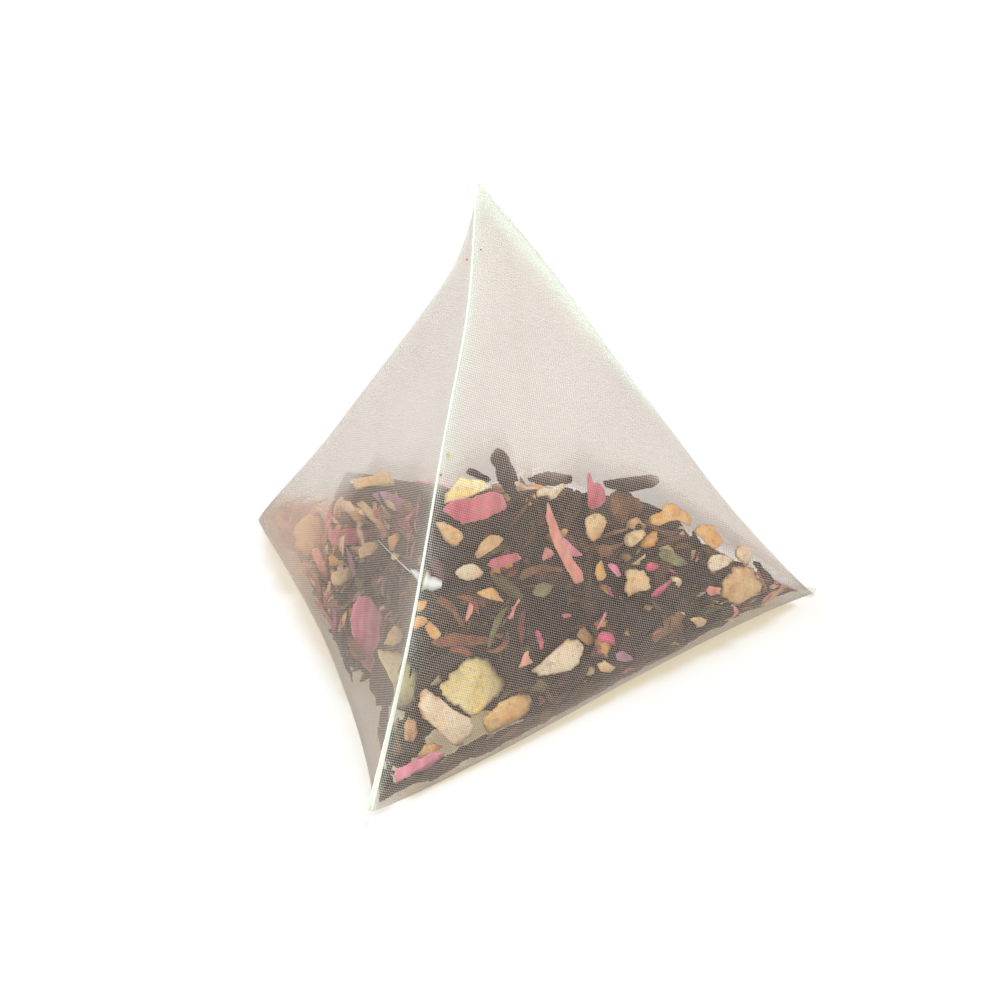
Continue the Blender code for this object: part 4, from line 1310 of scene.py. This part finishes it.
# Pinched creases with a painted highlight where they catch the light: places on the tube as level and share,
# width at both ends, and strength of the painted highlight
CREASES = [
    ([(0.281, 0.7229), (0.222, 0.7132), (0.144, 0.7021), (0.062, 0.6917)], 0.05, 0.12, 0.7),
    ([(0.070, 0.6945), (0.045, 0.6915), (0.006, 0.6870)], 0.10, 1.00, 0.7),
    ([(0.006, 0.3150), (0.022, 0.3160), (0.044, 0.3145)], 1.60, 0.80, 0.8),
]
crease_points, crease_faces, crease_glint = [], [], []
for path, first, final, glow in CREASES:
    path = np.array(path)
    share = np.linspace(0, 1, len(path))
    steps = np.linspace(0, 1, 40)
    line, out = at(np.interp(steps, share, path[:, 0]), np.interp(steps, share, path[:, 1]))
    for _ in range(6):
        line[1:-1] = (line[:-2] + 2 * line[1:-1] + line[2:]) / 4
    along = np.gradient(line, axis=0)
    side = np.cross(along, out)
    side /= np.linalg.norm(side, axis=1)[:, None]
    start = len(crease_points)
    for n, step in enumerate(steps):
        half_width = (first + (final - first) * step) / 2 * (1 + 0.12 * math.sin(11 * step + 40 * final))
        for a, b in ((-1, 0.05), (0, 0.05 + 0.25 * half_width), (1, 0.05), (0, 0.03)):
            crease_points.append(line[n] + side[n] * a * half_width + out[n] * b)
            crease_glint.append(glow)
    crease_faces += tube_faces(start, len(steps), 4)
# Painted highlight: the creases turn near white where they catch the light.
crease_glint_look = gauze_material("crease_glint_film", (0.62, 0.56, 0.48), (0.95, 0.98, 0.96))
crease_glint_look.node_tree.nodes["Principled BSDF"].inputs["Alpha"].default_value = 0.8
add_object("gauze_creases", crease_points, crease_faces, crease_glint_look, floats={"mint_and_painted_sheen": crease_glint})

# Loose thread ends at the front tip
fray_points, fray_faces = [], []
tip = at(np.array([0.0]), np.array([0.5]))[0][0]
for n in range(9):
    root = tip + np.array([0.05 * (n % 3), 0.2 - 0.1 * n, 0.15 + 0.11 * n])
    way = np.array([-0.9 + 0.12 * n, -0.5 - 0.08 * n, 0.25 * math.sin(2.3 * n)])
    long = 0.32 + 0.15 * math.sin(4.1 * n)
    line = np.array([root + way * t * long + np.array([0, 0, 0.25 * t * t]) for t in np.linspace(0, 1, 7)])
    line[:, 2] = np.maximum(line[:, 2], 0.03)
    more, found = thread_rows(line[None], np.tile([0.1, 0.2, 1.0], (1, 7, 1)), 0.03, False, 5)
    fray_faces += [[v + len(fray_points) for v in face] for face in found]
    fray_points.extend(more)
# Mostly pale mint, as painted sheen.
fray_sheen = [0.9] * len(fray_points)
add_object("thread_ends", fray_points, fray_faces, seal_look, floats={"mint_and_painted_sheen": fray_sheen})

# Specks of dust caught in the gauze: level, share, size and colour
SPECKS = [
    (0.012, 0.2139, 0.28, (0.62, 0.62, 0.10)),
    (0.004, 0.2313, 0.20, (0.55, 0.16, 0.08)),
    (0.041, 0.9417, 0.22, (0.70, 0.26, 0.08)),
    (0.016, 0.0514, 0.14, (0.30, 0.15, 0.07)),
    (0.030, 0.5060, 0.30, (0.28, 0.03, 0.03)),
]
speck_points, speck_faces, speck_tones = [], [], []
for n, (u, share, size, tone) in enumerate(SPECKS):
    place, out = at(np.array([u]), np.array([share]))
    across = np.cross(out[0], [0.0, 0.3, 1.0])
    across /= np.linalg.norm(across)
    rise = np.cross(across, out[0])
    start = len(speck_points)
    for level, share_out in ((0.04, 0.75), (0.04 + 0.35 * size, 1.0), (0.04 + 0.7 * size, 0.45)):
        for j in range(7):
            turn = 2 * math.pi * j / 7
            far = size / 2 * share_out * (1 + 0.3 * math.sin(3 * j + n))
            flat = across * far * math.cos(turn) * 1.4 + rise * far * math.sin(turn)
            speck_points.append(place[0] + out[0] * level + flat)
            speck_tones.append(tone)
    speck_faces += tube_faces(start, 3, 7)
add_object("gauze_specks", speck_points, speck_faces, shreds_look, colours={"tone": speck_tones})

# Camera at the photograph's viewing angle
AZIMUTH, ELEVATION = math.radians(18.514), math.radians(25.158)
DISTANCE, FIELD = 413.976, math.radians(15)
target = (np.array([-21.457, 71.665, -16.756]) + PLAN) * MM
level = math.cos(ELEVATION)
back = np.array([math.sin(AZIMUTH) * level, -math.cos(AZIMUTH) * level, math.sin(ELEVATION)])
lens = bpy.data.cameras.new("camera")
lens.sensor_width = 36.0
lens.lens = lens.sensor_width / 2 / math.tan(FIELD / 2)
lens.clip_start = 0.01
camera = bpy.data.objects.new("camera", lens)
camera.location = target + back * DISTANCE * MM
camera.rotation_euler = (math.pi / 2 - ELEVATION, 0.0, AZIMUTH)
bpy.context.scene.collection.objects.link(camera)
bpy.context.scene.camera = camera


def straight_rays(nodes, wires):
    """1 for what the camera sees straight, in a gloss or through a clear body."""
    rays = nodes.new("ShaderNodeLightPath")
    last = rays.outputs["Is Camera Ray"]
    for name in ("Is Glossy Ray", "Is Transmission Ray"):
        either = nodes.new("ShaderNodeMath")
        either.operation = "MAXIMUM"
        wires.new(last, either.inputs[0])
        wires.new(rays.outputs[name], either.inputs[1])
        last = either.outputs[0]
    return last


# Floor, white to the camera except where the bag shades it
floor_mesh = bpy.data.meshes.new("floor")
floor_mesh.from_pydata([(-3, -3, 0), (3, -3, 0), (3, 3, 0), (-3, 3, 0)], [], [(0, 1, 2, 3)])
floor = bpy.data.objects.new("floor", floor_mesh)
bpy.context.scene.collection.objects.link(floor)
floor_look = bpy.data.materials.new("floor")
floor_look.use_nodes = True
nodes, wires = floor_look.node_tree.nodes, floor_look.node_tree.links
plain = nodes["Principled BSDF"]
plain.inputs["Base Color"].default_value = (0.80, 0.79, 0.77, 1.0)
plain.inputs["Roughness"].default_value = 0.9
plain.inputs["Specular IOR Level"].default_value = 0.2
seen = nodes.new("ShaderNodeBsdfDiffuse")
seen.inputs["Color"].default_value = (0.42, 0.54, 0.76, 1.0)
glow = nodes.new("ShaderNodeEmission")
glow.inputs["Color"].default_value = (0.58, 0.46, 0.24, 1.0)
both = nodes.new("ShaderNodeAddShader")
wires.new(seen.outputs[0], both.inputs[0])
wires.new(glow.outputs[0], both.inputs[1])
choice = nodes.new("ShaderNodeMixShader")
wires.new(straight_rays(nodes, wires), choice.inputs[0])
wires.new(plain.outputs[0], choice.inputs[1])
wires.new(both.outputs[0], choice.inputs[2])
wires.new(choice.outputs[0], nodes["Material Output"].inputs["Surface"])
floor_mesh.materials.append(floor_look)

# Soft studio light
world = bpy.data.worlds.new("studio")
bpy.context.scene.world = world
world.use_nodes = True
nodes, wires = world.node_tree.nodes, world.node_tree.links
ambient = nodes["Background"]
ambient.inputs["Color"].default_value = (1.0, 0.99, 0.97, 1.0)
ambient.inputs["Strength"].default_value = 0.30
white = nodes.new("ShaderNodeBackground")
white.inputs["Color"].default_value = (1.0, 1.0, 1.0, 1.0)
choice = nodes.new("ShaderNodeMixShader")
wires.new(straight_rays(nodes, wires), choice.inputs[0])
wires.new(ambient.outputs[0], choice.inputs[1])
wires.new(white.outputs[0], choice.inputs[2])
wires.new(choice.outputs[0], nodes["World Output"].inputs["Surface"])


def add_lamp(name, place, size, power, colour=(1, 1, 1)):
    lamp = bpy.data.lights.new(name, "AREA")
    lamp.shape = "DISK"
    lamp.size = size
    lamp.energy = power
    lamp.color = colour
    made = bpy.data.objects.new(name, lamp)
    made.location = place
    made.rotation_euler = (Vector((0, 0, 0.015)) - Vector(place)).to_track_quat("-Z", "Y").to_euler()
    bpy.context.scene.collection.objects.link(made)


add_lamp("key", (0.25, 0.10, 1.26), 0.55, 8.0, (1.0, 0.98, 0.94))
add_lamp("right", (0.75, -0.80, 0.55), 0.9, 7.6, (1.0, 0.98, 0.95))
add_lamp("left", (-0.75, -0.80, 0.60), 0.9, 8.4)

scene = bpy.context.scene
scene.view_settings.view_transform = "Standard"
